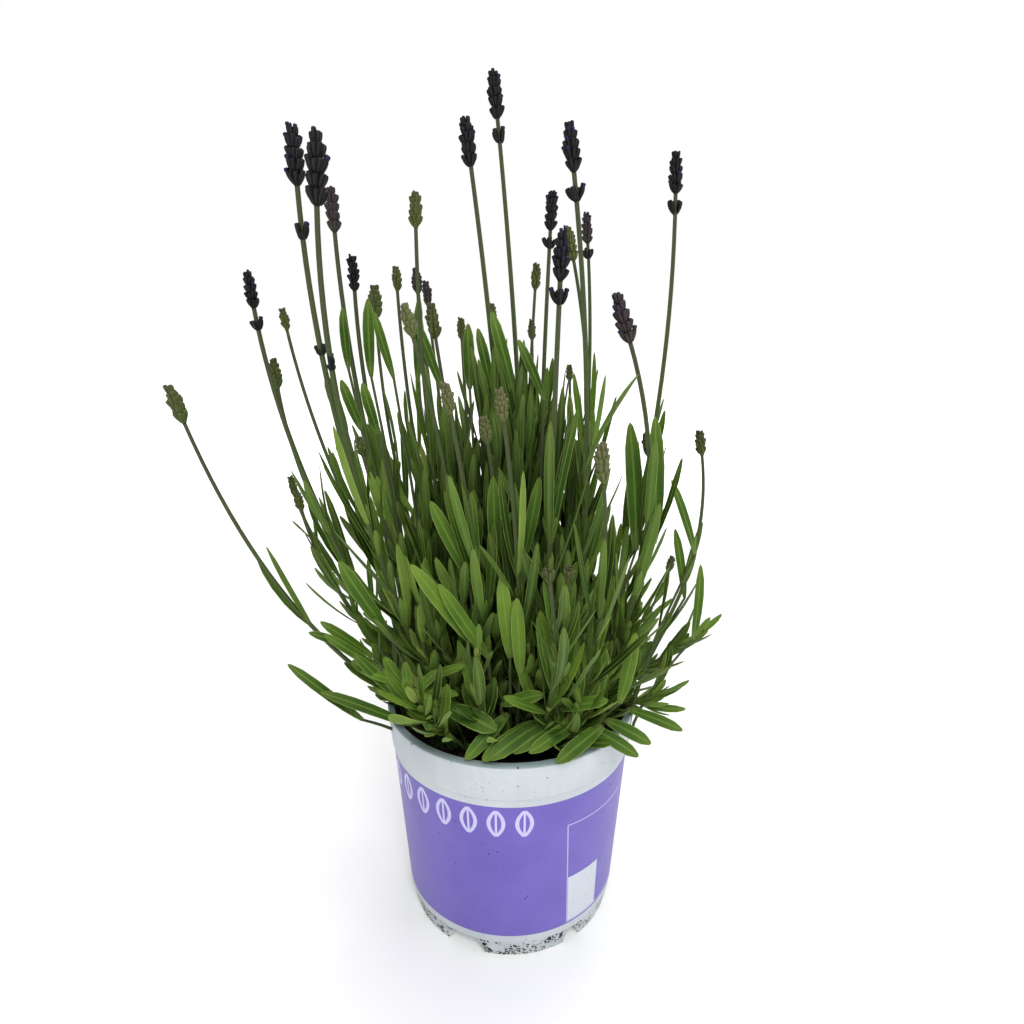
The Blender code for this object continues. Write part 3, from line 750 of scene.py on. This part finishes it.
def headSurfaces(seed, foot, aim, length, shape, slot, size):
    # A head: whorls stacked up its axis, each one steeper than the one below
    rng = np.random.default_rng(seed)
    lastLength = shape["lengths"][-1] * mm * size
    rows = max(2, int(round((length - lastLength) / (shape["spacing"] * size))) + 1)
    surfaces = []
    for share in np.linspace(0, 1, rows):
        place = foot + aim * (length - lastLength) * share
        tilt = spread(shape["tilts"], share)
        surfaces += whorl(rng, place, aim, {
            "count": int(round(spread(shape["counts"], share))), "tilt": tilt,
            "inset": shape["inset"], "length": spread(shape["lengths"], share) * mm * size,
            "width": spread(shape["widths"], share) * mm * size, "tone": 0.25 + 0.4 * share,
            "petals": shape["petals"], "slot": slot})
        for turn in (0.0, math.pi / 2):
            surfaces.append(bracts(place - aim * 0.5 * mm, aim, {
                "turn": turn + share * 5, "tilt": tilt + 0.12,
                "bractLength": shape["bractLength"] * size * (1 - 0.2 * share),
                "bractWidth": shape["bractWidth"] * size * (1 - 0.25 * share),
                "bractTone": 0.35 + 0.3 * rng.uniform(), "slot": slot}))
    axis = foot + aim * np.linspace(-0.6 * mm, length - lastLength * 0.8, 5)[:, None]
    surfaces.append(stem(axis, thick=0.8, slot=slot, tone=0.3))
    return surfaces


def lowerWhorl(seed, place, aim, count, slot):
    # A few open buds a little below a head, in a pair of scales
    rng = np.random.default_rng(seed)
    surfaces = whorl(rng, place, aim, {
        "count": count, "tilt": 0.36, "inset": 1.1 * mm, "length": 5.4 * mm, "width": 2.5 * mm,
        "tone": 0.5, "petals": 0.35, "slot": slot})
    surfaces.append(bracts(place - aim * 0.5 * mm, aim, {
        "turn": rng.uniform(0, 6.3), "tilt": 0.7, "bractLength": 3.4 * mm, "bractWidth": 3.2 * mm,
        "bractTone": 0.5, "slot": slot}))
    return surfaces


def calyxSkin(name, stops, petalColor, hair):
    # A ramp over tone, place along the bud and noise; petals in their own color, hairs on the ribs
    p = newSkin(name, Specular_IOR_Level=0.20)
    place = p.place()
    along, across, tone, petal = (p.mark(item) for item in ("along", "across", "tone", "petal"))
    cloud = p.noise(place, 450.0, 3.0)
    down = p.noise(place, 2600.0, 2.0)
    color = p.ramp(tone * 0.5 + along * 0.3 + cloud * 0.2, stops)
    color = p.mix(petal, color, petalColor)
    color = p.mix(across.soft(0.1, 1.0) * 0.25, color, hair)
    color = p.mix(down.soft(0.52, 0.75) * 0.30, color, hair)
    height = down * 0.5 + across * 0.5
    return p.finish(Base_Color=color, Roughness=0.62 + down * 0.2, Normal=p.bump(height, 0.2 * mm, 0.8))


# Each kind's ramp stops, then the color of its petals and of its hairs

calyxColors = {
    "violet": (((0.10, (0.016, 0.019, 0.008)), (0.40, (0.006, 0.006, 0.006)),
                (0.65, (0.009, 0.008, 0.012)), (0.95, (0.028, 0.024, 0.036))),
               (0.018, 0.011, 0.048), (0.070, 0.068, 0.066)),
    "green": (((0.10, (0.060, 0.090, 0.018)), (0.45, (0.085, 0.110, 0.026)),
               (0.70, (0.075, 0.078, 0.028)), (0.95, (0.050, 0.045, 0.026))),
              (0.022, 0.013, 0.065), (0.16, 0.19, 0.09)),
    "brown": (((0.10, (0.042, 0.046, 0.020)), (0.40, (0.040, 0.034, 0.026)),
               (0.60, (0.036, 0.025, 0.034)), (0.95, (0.036, 0.024, 0.040))),
              (0.030, 0.018, 0.060), (0.10, 0.085, 0.085)),
    "pale": (((0.10, (0.095, 0.130, 0.028)), (0.45, (0.130, 0.150, 0.045)),
              (0.70, (0.140, 0.132, 0.068)), (0.95, (0.110, 0.094, 0.068))),
             (0.022, 0.013, 0.065), (0.22, 0.23, 0.15))}


# Plant. Each entry, in mm, is root (x, y), knee (x, y and sometimes z), tip (x, y, z) and the head's
# length, then its kind and its color: violet, brown, green, or the pale green of old buds. The knee
# pulls the stem's curve and sets the head's direction.

stalks = (
    ((-30, -13), (-84, -29), (-84, -35, 383), 21, "spike", "violet"),
    ((-25, -20), (-80, -46), (-70, -55, 377), 25, "spike", "violet"),
    ((-34, 9), (-80, 21), (-85, 25, 371), 20, "spike", "brown"),
    ((-32, 18), (-79, 42), (-82, 50, 342), 17, "spike", "violet"),
    ((-40, 4), (-111, 8), (-123, 10, 332), 16, "spike", "violet"),
    ((4, 0), (-1, 4), (-20, 5, 396), 20, "spike", "violet"),
    ((10, 8), (8, 24), (-8, 30, 421), 20, "spike", "violet"),
    ((28, -16), (41, -38), (22, -45, 382), 17, "spike", "violet"),
    ((14, 16), (15, 38), (21, 45, 372), 18, "spike", "violet"),
    ((18, -23), (16, -55), (19, -65, 342), 17, "spike", "violet"),
    ((24, 27), (58, 63), (31, 75, 359), 18, "spike", "green"),
    ((26, 34), (53, 82), (43, 95, 369), 17, "spike", "brown"),
    ((36, 2), (77, -7), (70, -10, 379), 16, "spike", "violet"),
    ((34, -16), (80, -38), (42, -45, 321), 20, "spike", "brown"),
    ((-36, 28), (-105, 54), (-124, 60, 316), 11, "bud", "green"),
    ((-39, 13), (-113, 29), (-123, 35, 291), 15, "bud", "green"),
    ((-16, -5), (-42, -13), (-40, -15, 363), 14, "bud", "green"),
    ((-22, 16), (-54, 38), (-59, 45, 337), 12, "bud", "green"),
    ((-27, 27), (-73, 63), (-76, 75, 329), 18, "bud", "green"),
    ((-14, 11), (-37, 25), (-47, 30, 335), 12, "bud", "brown"),
    ((-16, 29), (-37, 67), (-48, 80, 331), 13, "bud", "brown"),
    ((6, 20), (7, 50), (14, 60, 339), 13, "bud", "green"),
    ((10, 29), (15, 67), (12, 80, 310), 11, "bud", "green"),
    ((-4, 34), (-10, 80), (-11, 95, 319), 12, "bud", "green"),
    ((-10, 22), (-23, 50), (-27, 60, 311), 11, "bud", "green"),
    ((-18, -14), (-17, -34), (-43, -40, 317), 13, "bud", "pale"),
    ((-8, 4), (-23, 8), (-38, 10, 318), 16, "bud", "green"),
    ((-8, -23), (-10, -55), (-25, -65, 288), 12, "bud", "pale"),
    ((2, -25), (8, -59), (-4, -70, 286), 12, "bud", "pale"),
    ((-2, -15), (1, -38), (-11, -45, 272), 11, "bud", "pale"),
    ((28, -27), (43, -71), (33, -85, 268), 15, "bud", "pale"),
    ((32, 12), (82, 22), (70, 25, 254), 12, "bud", "green"),
    ((39, -14), (98, -26), (83, -30, 264), 11, "bud", "green"),
    ((-34, -8), (-112, -20, 152), (-150, -25, 283), 17, "bud", "green"))

shoots = (
    ((33, 20), (84, 39), (93, 45, 179), 9), ((10, -34), (24, -76), (14, -90, 222), 6),
    ((18, -31), (24, -66), (23, -80, 219), 7), ((-21, -13), (-50, -26), (-67, -30, 261), 8),
    ((-31, 21), (-112, 50), (-126, 55, 224), 12), ((-35, -4), (-94, 4), (-111, 16, 225), 10),
    ((14, 37), (38, 76), (35, 90, 284), 9), ((-20, -34), (-32, -60), (-40, -84, 166), 6),
    ((38, 4), (72, 2), (100, -6, 158), 6))

plant = {
    "deep": 12 * mm, "steps": 26, "leafTop": 272, "leafTopFall": 0.42, "leafEnd": 0.62,
    "stems": {"bud": {"thick": 0.95, "tone": 0.5}, "spike": {"thick": 1.18, "tone": 0.45}},
    "paleTone": 0.1,
    # Shoots that end in leaves, not in a bud
    "rosettes": (8, 9),
    # Open buds below a head: how far below it, in mm, and how many
    "whorls": {1: ((20, 4), (66, 2)), 2: ((61, 2),), 5: ((10.5, 4),), 7: ((10.6, 4),), 8: ((10.5, 4),),
               9: ((9, 4),), 10: ((8.5, 4),), 12: ((8.5, 4),), 13: ((8.5, 4),)}}

stalkLeaves = {
    "pairs": 7, "first": 0.10, "lengths": (26, 38, 52, 58, 50), "tilts": (50, 34, 24, 17, 13),
    "widths": (4.6, 5.0, 4.8, 4.4, 3.8), "axil": 2, "axilLengths": (14, 22, 20, 12), "tone": 0.45}
fewLeaves = {   # stalks that stand apart and carry little
    5: {"pairs": 5, "size": 0.80, "axil": 1}, 15: {"pairs": 4, "size": 0.75, "axil": 1},
    16: {"pairs": 5, "size": 0.75, "axil": 1}, 32: {"pairs": 5, "size": 0.75, "axil": 1},
    33: {"pairs": 4, "size": 0.65, "axil": 1},
    34: {"pairs": 1, "first": 0.47, "size": 1.0, "axil": 0, "lengths": (52, 52), "tilts": (13, 13)}}
shootLeaves = {
    "pairs": 8, "first": 0.16, "last": 0.97, "lengths": (26, 38, 44, 40, 26),
    "tilts": (62, 50, 40, 28, 14), "widths": (4.8, 5.2, 5.0, 4.4, 3.4), "axil": 2,
    "axilLengths": (14, 20, 18, 10), "tone": 0.50}


shootChanges = {   # shoots with smaller or fewer leaves
    1: {"size": 0.72}, 5: {"size": 0.80}, 6: {"size": 0.85}, 9: {"size": 0.72},
    8: {"size": 0.85, "first": 0.50, "pairs": 7, "tilts": (44, 40, 36, 28, 14), "tone": 0.62}}
budShootLeaves = dict(
    shootLeaves, pairs=6, last=0.80, tilts=(46, 36, 28, 22, 16), widths=(4.6, 4.8, 4.4, 4.0, 3.2))
sharpFold = math.radians(70)


def stemPath(root, knee, tip, head):
    # A quadratic curve from the root to the head's foot, pulled by the knee, and one point more
    # down in the peat
    start = np.array([root[0] * mm, root[1] * mm, peat["edge"]])
    tip = np.array(tip) * mm
    kneeHeight = knee[2] * mm if len(knee) == 3 else 0.5 * (start[2] + tip[2])
    bend = np.array([knee[0] * mm, knee[1] * mm, kneeHeight])
    aim = normalize(tip - bend)
    end = tip - aim * head * mm
    share = np.linspace(0, 1, plant["steps"])[:, None]
    curve = (1 - share) ** 2 * start + 2 * share * (1 - share) * bend + share ** 2 * end
    curve[2:] = rest(curve[2:])
    return np.concatenate([[start - up * plant["deep"]], curve]), aim


def pathAt(points, share):
    # Places and directions at shares of a path's length
    walked = np.concatenate([[0], np.cumsum(np.linalg.norm(np.diff(points, axis=0), axis=1))])
    ahead = pathFrames(points)[0]
    place, aim = (
        np.stack([np.interp(share * walked[-1], walked, values[:, axis]) for axis in range(3)], axis=-1)
        for values in (points, ahead))
    return place, normalize(aim)


def leafPairs(rng, points, spec):
    # Opposite leaves up a stem, each pair a quarter turn on from the last, and small leaves in
    # their axils. Lengths, tilts and widths run evenly through the given values.
    pairs = spec["pairs"]
    rise = np.linspace(0, 1, pairs)
    place, aim = pathAt(points, spec["first"] + (spec["last"] - spec["first"]) * rise)
    turn = np.arange(pairs) * math.pi / 2 + rng.uniform(0, 6.3) + rng.normal(0, 0.2, pairs)

    def several(values):
        return np.repeat(values, 2, axis=0)

    place, aim, rise = several(place), several(aim), several(rise)
    turn = several(turn) + np.tile([0, math.pi], pairs) + rng.normal(0, 0.12, 2 * pairs)
    place = place + aim * rng.uniform(-1, 1, (2 * pairs, 1)) * mm
    outward = around(aim, turn)
    surfaces = [leafSet(rng, place, aim, outward, {
        "length": spread(spec["lengths"], rise) * spec.get("size", 1.0),
        "tilt": spread(spec["tilts"], rise), "width": spread(spec["widths"], rise),
        "tone": spec["tone"]})]
    for step in range(spec["axil"]):
        turned = turn + (step - 0.5) * 1.3 + rng.normal(0, 0.3, 2 * pairs)
        outward = around(aim, turned)
        surfaces.append(leafSet(rng, place + aim * 1.2 * mm, aim, outward, {
            "length": spread(spec["axilLengths"], rise) * spec.get("size", 1.0),
            "tilt": 0.55 * spread(spec["tilts"], rise) + 6,
            "width": 0.62 * spread(spec["widths"], rise), "tone": spec["tone"] + 0.12}))
    return surfaces


# How leaves differ: pairs are the least and the most, other numbers a normal spread. A leaf that
# tilts past steep curls up by upturn, in radians, and lift draws every leaf upward.

grown = {
    "tilt": 5, "curl": 0.22, "meanCurl": -0.10, "steep": 0.7, "upturn": 0.35, "sway": 0.10,
    "twist": 0.45, "fold": (0.05, 0.30), "length": (0.78, 1.10), "width": (0.85, 1.12), "tone": 0.22,
    "lift": 0.45}


def leafSet(rng, place, aim, outward, spec):
    # Leaves with the spread of sizes and bends that grown ones have
    count = len(place)
    tilt = np.radians(spec["tilt"] + rng.normal(0, grown["tilt"], count))
    curl = rng.normal(grown["meanCurl"], grown["curl"], count) - grown["upturn"] * (tilt > grown["steep"])
    return leaves(place, aim, outward, {
        "tilt": tilt, "curl": curl, "sway": rng.normal(0, grown["sway"], count),
        "twist": rng.normal(0, grown["twist"], count), "fold": rng.uniform(*grown["fold"], count),
        "length": spec["length"] * rng.uniform(*grown["length"], count) * mm,
        "width": spec["width"] * rng.uniform(*grown["width"], count) * mm,
        "tone": np.clip(spec["tone"] + rng.normal(0, grown["tone"], count), 0, 1),
        "lift": np.full(count, grown["lift"])})


def makeStalks(skins):
    # Each flowering stalk with its leaves, and a green bud or a head that is a piece of its own
    heads = 0
    for index, (root, knee, tip, head, kind, color) in enumerate(stalks, 1):
        rng = np.random.default_rng(100 + index)
        points, aim = stemPath(root, knee, tip, head)
        height = tip[2] - peat["edge"] / mm
        leafTop = plant["leafTop"] - plant["leafTopFall"] * abs(tip[0])
        last = min(plant["leafEnd"], (leafTop - peat["edge"] / mm) / height)
        spec = dict(stalkLeaves, last=last, size=0.85 + 0.15 * last / plant["leafEnd"])
        spec.update(fewLeaves.get(index, {}))
        thick = plant["stems"][kind]["thick"]
        tone = plant["paleTone"] if color == "pale" else plant["stems"][kind]["tone"]
        surfaces = [stem(points, thick=thick, tone=tone)]
        surfaces += leafPairs(rng, points, spec)
        materials = [skins["leaf"], skins["stem"]]
        if kind == "bud":
            surfaces += headSurfaces(200 + index, points[-1], aim, head * mm, bud, 2, head / bud["full"])
            materials.append(skins[color])
        walked = np.linalg.norm(np.diff(points, axis=0), axis=1).sum()
        for gap, count in plant["whorls"].get(index, ()):
            place, along = pathAt(points, np.array([1 - gap * mm / walked]))
            surfaces += lowerWhorl(300 + index, place[0], along[0], count, 2)
        if index in plant["whorls"]:
            materials.append(skins["violet"])
        stalk = putMesh(f"stalk{index:02d}", surfaces, materials, sharpFold)
        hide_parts(f"flower_stalk_{index:02d}")
        if kind != "bud":
            heads += 1
            surfaces = headSurfaces(
                400 + index, points[-1], aim, head * mm, spike, 0, head / spike["full"])
            spikeHead = putMesh(f"spike{heads:02d}", surfaces, [skins[color]])
            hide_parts(f"flower_spike_{heads:02d}")


def makeShoots(skins):
    # Each low shoot with its leaves, and a small bud unless it ends in leaves
    for index, (root, knee, tip, head) in enumerate(shoots, 1):
        rng = np.random.default_rng(500 + index)
        points, aim = stemPath(root, knee, tip, head)
        surfaces = [stem(points, tone=0.1)]
        spec = dict(shootLeaves if index in plant["rosettes"] else budShootLeaves)
        spec.update(shootChanges.get(index, {}))
        surfaces += leafPairs(rng, points, spec)
        if index not in plant["rosettes"]:
            surfaces += headSurfaces(600 + index, points[-1], aim, head * mm, bud, 2, bud["onShoots"])
        shoot = putMesh(
            f"shoot{index:02d}", surfaces, [skins["leaf"], skins["stem"], skins["green"]], sharpFold)
        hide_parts(f"leafy_shoot_{index:02d}")


# Side shoots that fill the bush: for each layer how far out and how high its tips stand

layers = {
    "crown": {"count": 18, "reach": (4, 38), "height": (232, 284), "rootShare": 0.55, "pairs": 8,
              "first": 0.18, "last": 0.95, "lengths": (34, 50, 60, 56, 38), "tilts": (40, 28, 19, 13, 8),
              "widths": (5.0, 5.2, 4.8, 4.2, 3.6), "tone": 0.32, "pieces": 4},
    "middle": {"count": 20, "reach": (36, 64), "height": (168, 236), "rootShare": 0.60, "pairs": 8,
               "first": 0.15, "last": 0.97, "lengths": (28, 40, 46, 42, 28), "tilts": (54, 42, 32, 22, 12),
               "widths": (5.2, 5.6, 5.2, 4.6, 3.6), "tone": 0.45, "pieces": 5},
    "skirt": {"count": 18, "reach": (58, 80), "height": (126, 168), "rootShare": 0.55, "pairs": 7,
              "first": 0.15, "last": 0.98, "lengths": (22, 28, 32, 30, 20), "tilts": (56, 50, 42, 32, 16),
              "widths": (5.4, 5.8, 5.4, 4.8, 3.6), "tone": 0.55, "pieces": 5, "frontFall": 0.25}}


def makeLayers(skins):
    # Shoots a golden angle apart. The further out one stands, the lower its tip, and in front the
    # reach shrinks by frontFall times the square of how far to the front it points.
    golden = math.pi * (3 - math.sqrt(5))
    for number, (name, layer) in enumerate(layers.items()):
        groups = [[] for _ in range(layer["pieces"])]
        for index in range(layer["count"]):
            rng = np.random.default_rng(1000 * (number + 1) + index)
            turn = index * golden + number + rng.normal(0, 0.12)
            reach = rng.uniform(*layer["reach"])
            reach *= 1 - layer.get("frontFall", 0) * max(0, -math.sin(turn)) ** 2
            share = max(0, (reach - layer["reach"][0]) / (layer["reach"][1] - layer["reach"][0]))
            height = layer["height"][1] - share * (layer["height"][1] - layer["height"][0])
            height += rng.normal(0, 6)
            flat = np.array([math.cos(turn), math.sin(turn)])
            root = flat * min(reach * layer["rootShare"], 48) + rng.normal(0, 2, 2)
            knee = flat * reach * 0.92 + rng.normal(0, 4, 2)
            points = stemPath(root, knee, (*(flat * reach), height), 4)[0]
            spec = dict(layer, axil=2, axilLengths=(12, 18, 16, 9))
            groups[index % layer["pieces"]] += [stem(points, thick=0.85, tone=0.1)]
            groups[index % layer["pieces"]] += leafPairs(rng, points, spec)
        for index, surfaces in enumerate(groups, 1):
            piece = putMesh(f"{name}Shoots{index}", surfaces, [skins["leaf"], skins["stem"]], sharpFold)


rimLeaves = {
    "count": 26, "root": (34, 48), "height": (112, 122), "length": (22, 34), "width": (5.4, 7.4),
    "tilt": (50, 84), "curl": (0.1, 0.6)}


def makeRimLeaves(skins):
    # Broad old leaves around the foot of the bush, which lean out and droop over the rim
    rng = np.random.default_rng(77)
    count = rimLeaves["count"]
    turn = np.arange(count) * 2 * math.pi / count + rng.normal(0, 0.12, count)
    turn = turn[np.sin(turn) > -0.62]
    count = len(turn)
    outward = np.stack([np.cos(turn), np.sin(turn), 0 * turn], axis=-1)
    front = np.maximum(0, -np.sin(turn)) ** 2
    low, high = rimLeaves["height"]
    reach = rng.uniform(*rimLeaves["root"], count)[:, None] * mm
    base = outward * reach + up * rng.uniform(low, high, count)[:, None] * mm
    surfaces = [leaves(base, np.tile(up, (count, 1)), outward, {
        "tilt": np.radians(rng.uniform(*rimLeaves["tilt"], count)),
        "curl": rng.uniform(*rimLeaves["curl"], count), "sway": rng.normal(0, 0.2, count),
        "twist": rng.normal(0, 0.5, count), "fold": rng.uniform(0.05, 0.3, count),
        "length": rng.uniform(*rimLeaves["length"], count) * mm * (1 - 0.35 * front),
        "width": rng.uniform(*rimLeaves["width"], count) * mm,
        "tone": rng.uniform(0.3, 0.75, count), "lift": np.zeros(count)})]
    for place in base:
        surfaces.append(leafStem(place, np.array([0.8, 0.8])))
    piece = putMesh("rimLeaves", surfaces, [skins["leaf"], skins["stem"]], sharpFold)


# Fans of leaves that show in front. Their feet stand evenly on a line from first to last, in mm,
# and their turns go evenly from one angle to the other as seen from the front, with 90 straight up.
# Ahead is how far the tips come to the front, as a share of the length.

frontFans = (
    {"first": (-74, -22, 264), "last": (-61, -11, 260), "count": 3, "turns": (108, 98), "length": (22, 27),
     "ahead": 0.15, "width": (4.8, 5.4), "tone": (0.38, 0.46)},
    {"first": (-80, 12, 284), "last": (14, -6, 274), "count": 9, "turns": (96, 104), "length": (28, 42),
     "ahead": 0.0, "width": (4.2, 6.6), "tone": (0.30, 0.42)},
    {"first": (59, -22, 208), "last": (66, -26, 210), "count": 2, "turns": (96, 94), "length": (60, 64),
     "ahead": 0.03, "width": (7.4, 7.8), "tone": (0.36, 0.42)},
    {"first": (84, -29, 205), "last": (88, -20, 160), "count": 3, "turns": (112, 90), "length": (34, 42),
     "ahead": 0.05, "width": (4.2, 4.6), "tone": (0.36, 0.46)},
    {"first": (-50, -46, 142), "last": (-76, -18, 152), "count": 5, "turns": (130, 146), "length": (24, 35),
     "ahead": 0.2, "width": (4.2, 5.4), "tone": (0.30, 0.60)},
    {"first": (-47, -46, 147), "last": (-41, -46, 146), "count": 8, "turns": (145, -65), "length": (18, 27),
     "ahead": 0.35, "width": (4.0, 5.4), "tone": (0.56, 0.64)},
    {"first": (-16, -50, 168), "last": (5, -50, 158), "count": 4, "turns": (126, 88), "length": (42, 54),
     "ahead": 0.25, "width": (5.8, 7.4), "tone": (0.60, 0.84)},
    {"first": (-17, -44, 202), "last": (4, -42, 208), "count": 3, "turns": (116, 82), "length": (34, 50),
     "ahead": 0.15, "width": (5.2, 6.6), "tone": (0.45, 0.55)},
    {"first": (-60, -34, 168), "last": (-60, -34, 168), "count": 1, "turns": (108, 108), "length": (44, 44),
     "ahead": 0.25, "width": (6.4, 6.8), "tone": (0.48, 0.52)},
    {"first": (-72, -29, 121), "last": (-48, -38, 119), "count": 2, "turns": (134, 172), "length": (44, 48),
     "ahead": 0.0, "width": (4.6, 5.6), "tone": (0.35, 0.40)},
    {"first": (-33, -46, 138), "last": (-33, -46, 138), "count": 1, "turns": (-16, -16), "length": (24, 24),
     "ahead": 0.6, "width": (9.0, 9.4), "tone": (0.36, 0.40)},
    {"first": (0, -50, 134), "last": (43, -46, 129), "count": 6, "turns": (212, 198), "length": (23, 29),
     "ahead": 0.62, "width": (6.4, 8.0), "tone": (0.42, 0.66)},
    {"first": (40, -44, 126), "last": (56, -32, 122), "count": 3, "turns": (-26, -6), "length": (20, 27),
     "ahead": 0.5, "width": (5.2, 6.8), "tone": (0.45, 0.50)},
    {"first": (-4, -52, 140), "last": (24, -50, 139), "count": 2, "turns": (28, 20), "length": (22, 25),
     "ahead": 0.45, "width": (6.0, 6.4), "tone": (0.56, 0.62)},
    {"first": (19, -50, 147), "last": (50, -43, 136), "count": 5, "turns": (98, 90), "length": (24, 48),
     "ahead": 0.22, "width": (5.0, 6.6), "tone": (0.55, 0.72)})
frontFacing = np.array([0.0, -0.7, 0.7])
frontScatter = {"foot": 1.5, "turn": 6, "forward": 0.14, "arch": 0.14}


def fanCurves(rng, fan):
    # Tips stand at the leaf's length and turn from its foot, knees halfway there, forward and raised
    count = fan["count"]
    share = np.linspace(0, 1, count)[:, None]
    foot = (1 - share) * np.array(fan["first"]) + share * np.array(fan["last"])
    foot += rng.normal(0, frontScatter["foot"], (count, 3))
    turn = (1 - share) * fan["turns"][0] + share * fan["turns"][1]
    turn = np.radians(turn + rng.normal(0, frontScatter["turn"], (count, 1)))
    reach = rng.uniform(*fan["length"], (count, 1))
    tip = foot + reach * np.concatenate([np.cos(turn), 0 * turn - fan["ahead"], np.sin(turn)], axis=-1)
    rise = frontScatter["arch"] * np.abs(np.cos(turn))
    raised = np.concatenate([0 * turn, 0 * turn - frontScatter["forward"], rise], axis=-1)
    knee = (foot + tip) / 2 + reach * raised
    return foot * mm, knee * mm, tip * mm


def makeFrontLeaves(skins):
    # Quadratic curves with their upper sides to the front, and a thin stem under each foot
    rng = np.random.default_rng(91)
    curves = [fanCurves(rng, fan) for fan in frontFans]
    foot, knee, tip = (np.concatenate(points) for points in zip(*curves))
    width = np.concatenate([rng.uniform(*fan["width"], fan["count"]) for fan in frontFans])
    tone = np.concatenate([rng.uniform(*fan["tone"], fan["count"]) for fan in frontFans])
    count = len(foot)
    fine = np.linspace(0, 1, leafShape["steps"] + 1)[None, :, None]
    line = (1 - fine) ** 2 * foot[:, None] + 2 * fine * (1 - fine) * knee[:, None] + fine ** 2 * tip[:, None]
    across = normalize(np.cross(frontFacing, tip - foot))
    surfaces = [blades(rest(line), across, {
        "width": width * mm, "twist": rng.normal(0, 0.25, count),
        "fold": rng.uniform(0.05, 0.30, count), "tone": tone})]
    for place in foot:
        surfaces.append(leafStem(place, np.array([0.70, 0.68])))
    piece = putMesh("frontLeaves", surfaces, [skins["leaf"], skins["stem"]], sharpFold)


def leafStem(place, drawn):
    # A thin stem from the peat to a leaf's foot, rooted nearer the middle of the pot
    low = np.array([*(place[:2] * drawn), peat["edge"] - 3 * mm])
    share = np.linspace(0, 1, 8)[:, None]
    path = low + (place - low) * np.concatenate([share ** 1.5, share ** 1.5, share], axis=1)
    return stem(path, thick=0.75, tone=0.1)


# Stage

studio = {
    "camera": (0.8 * mm, -335 * mm, 313 * mm), "pitch": 15.8, "lens": 24.6, "sensor": 36.0,
    "floor": 12.0, "skyLight": 0.16, "fadeNear": 0.45, "fadeFar": 1.4}


def makeStage():
    # A paper floor with a painted glow, a white backdrop, four soft lamps and the camera
    p = newSkin("paperFloor", Roughness=0.9, Specular_IOR_Level=0.1, Emission_Strength=1.0)
    place = p.place()
    fibre = p.noise(place, 400.0, 3.0)
    color = p.mix(fibre * 0.5, (0.93, 0.93, 0.93), (0.90, 0.90, 0.895))
    # Painted light: the paper glows, faintly near the pot and more away from it, until it is as white as the
    # backdrop
    x, y = p.axes(place)[:2]
    away = (x * x + y * y) ** 0.5
    glow = 0.14 + away.soft(studio["fadeNear"], studio["fadeFar"]) * 0.86
    material = p.finish(
        Base_Color=color, Emission_Color=p.mix(glow, (0, 0, 0), (1, 1, 1)),
        Normal=p.bump(fibre, 0.05 * mm, 0.3))
    half = 0.5 * studio["floor"]
    mesh = bpy.data.meshes.new("floor")
    corners = [(-half, -half, 0), (half, -half, 0), (half, half, 0), (-half, half, 0)]
    mesh.from_pydata(corners, [], [(0, 1, 2, 3)])
    mesh.materials.append(material)
    floor = bpy.data.objects.new("floor", mesh)
    bpy.context.scene.collection.objects.link(floor)

    # The backdrop is plain white, and lights the object more softly than it looks
    sky = Paint(bpy.data.worlds.new("studioWorld"), "Background", Color=(1, 1, 1, 1))
    seen = sky.node("ShaderNodeLightPath")
    strength = sky.node("ShaderNodeMapRange", None, {
        "Value": seen, "To Min": studio["skyLight"], "To Max": 1.0})
    bpy.context.scene.world = sky.finish(Strength=strength)
    bpy.context.scene.view_settings.view_transform = "Standard"

    lamps = {
        "keyLamp": ((0.1, -1.4, 1.7), 0.8, 27.0), "fillLamp": ((1.4, -0.9, 0.9), 1.2, 4.5),
        "topLamp": ((0.1, 0.2, 2.0), 1.2, 19.0), "backLamp": ((0.4, 1.6, 1.2), 1.2, 9.0)}
    for name, (place, size, watts) in lamps.items():
        data = bpy.data.lights.new(name, "AREA")
        data.size = size
        data.energy = watts
        lamp = bpy.data.objects.new(name, data)
        lamp.location = place
        away = np.array(place) - np.array([0, 0, 0.2])
        lamp.rotation_euler = (
            math.atan2(math.hypot(away[0], away[1]), away[2]), 0, math.atan2(away[0], -away[1]))
        bpy.context.scene.collection.objects.link(lamp)

    data = bpy.data.cameras.new("camera")
    data.lens = studio["lens"]
    data.sensor_width = studio["sensor"]
    data.clip_start = 0.01
    camera = bpy.data.objects.new("camera", data)
    camera.location = studio["camera"]
    camera.rotation_euler = (math.radians(90 - studio["pitch"]), 0, 0)
    bpy.context.scene.collection.objects.link(camera)
    bpy.context.scene.camera = camera


makeStage()
makePot()
makeRootBall()
makeCrumbs()
print("pot and peat made")
skins = {"leaf": leafSkin(), "stem": stemSkin()}
for kind, colors in calyxColors.items():
    skins[kind] = calyxSkin(f"{kind}Calyx", *colors)
makeStalks(skins)
makeShoots(skins)
print("stalks, heads and shoots made")
makeLayers(skins)
makeRimLeaves(skins)
makeFrontLeaves(skins)
print("side shoots made")
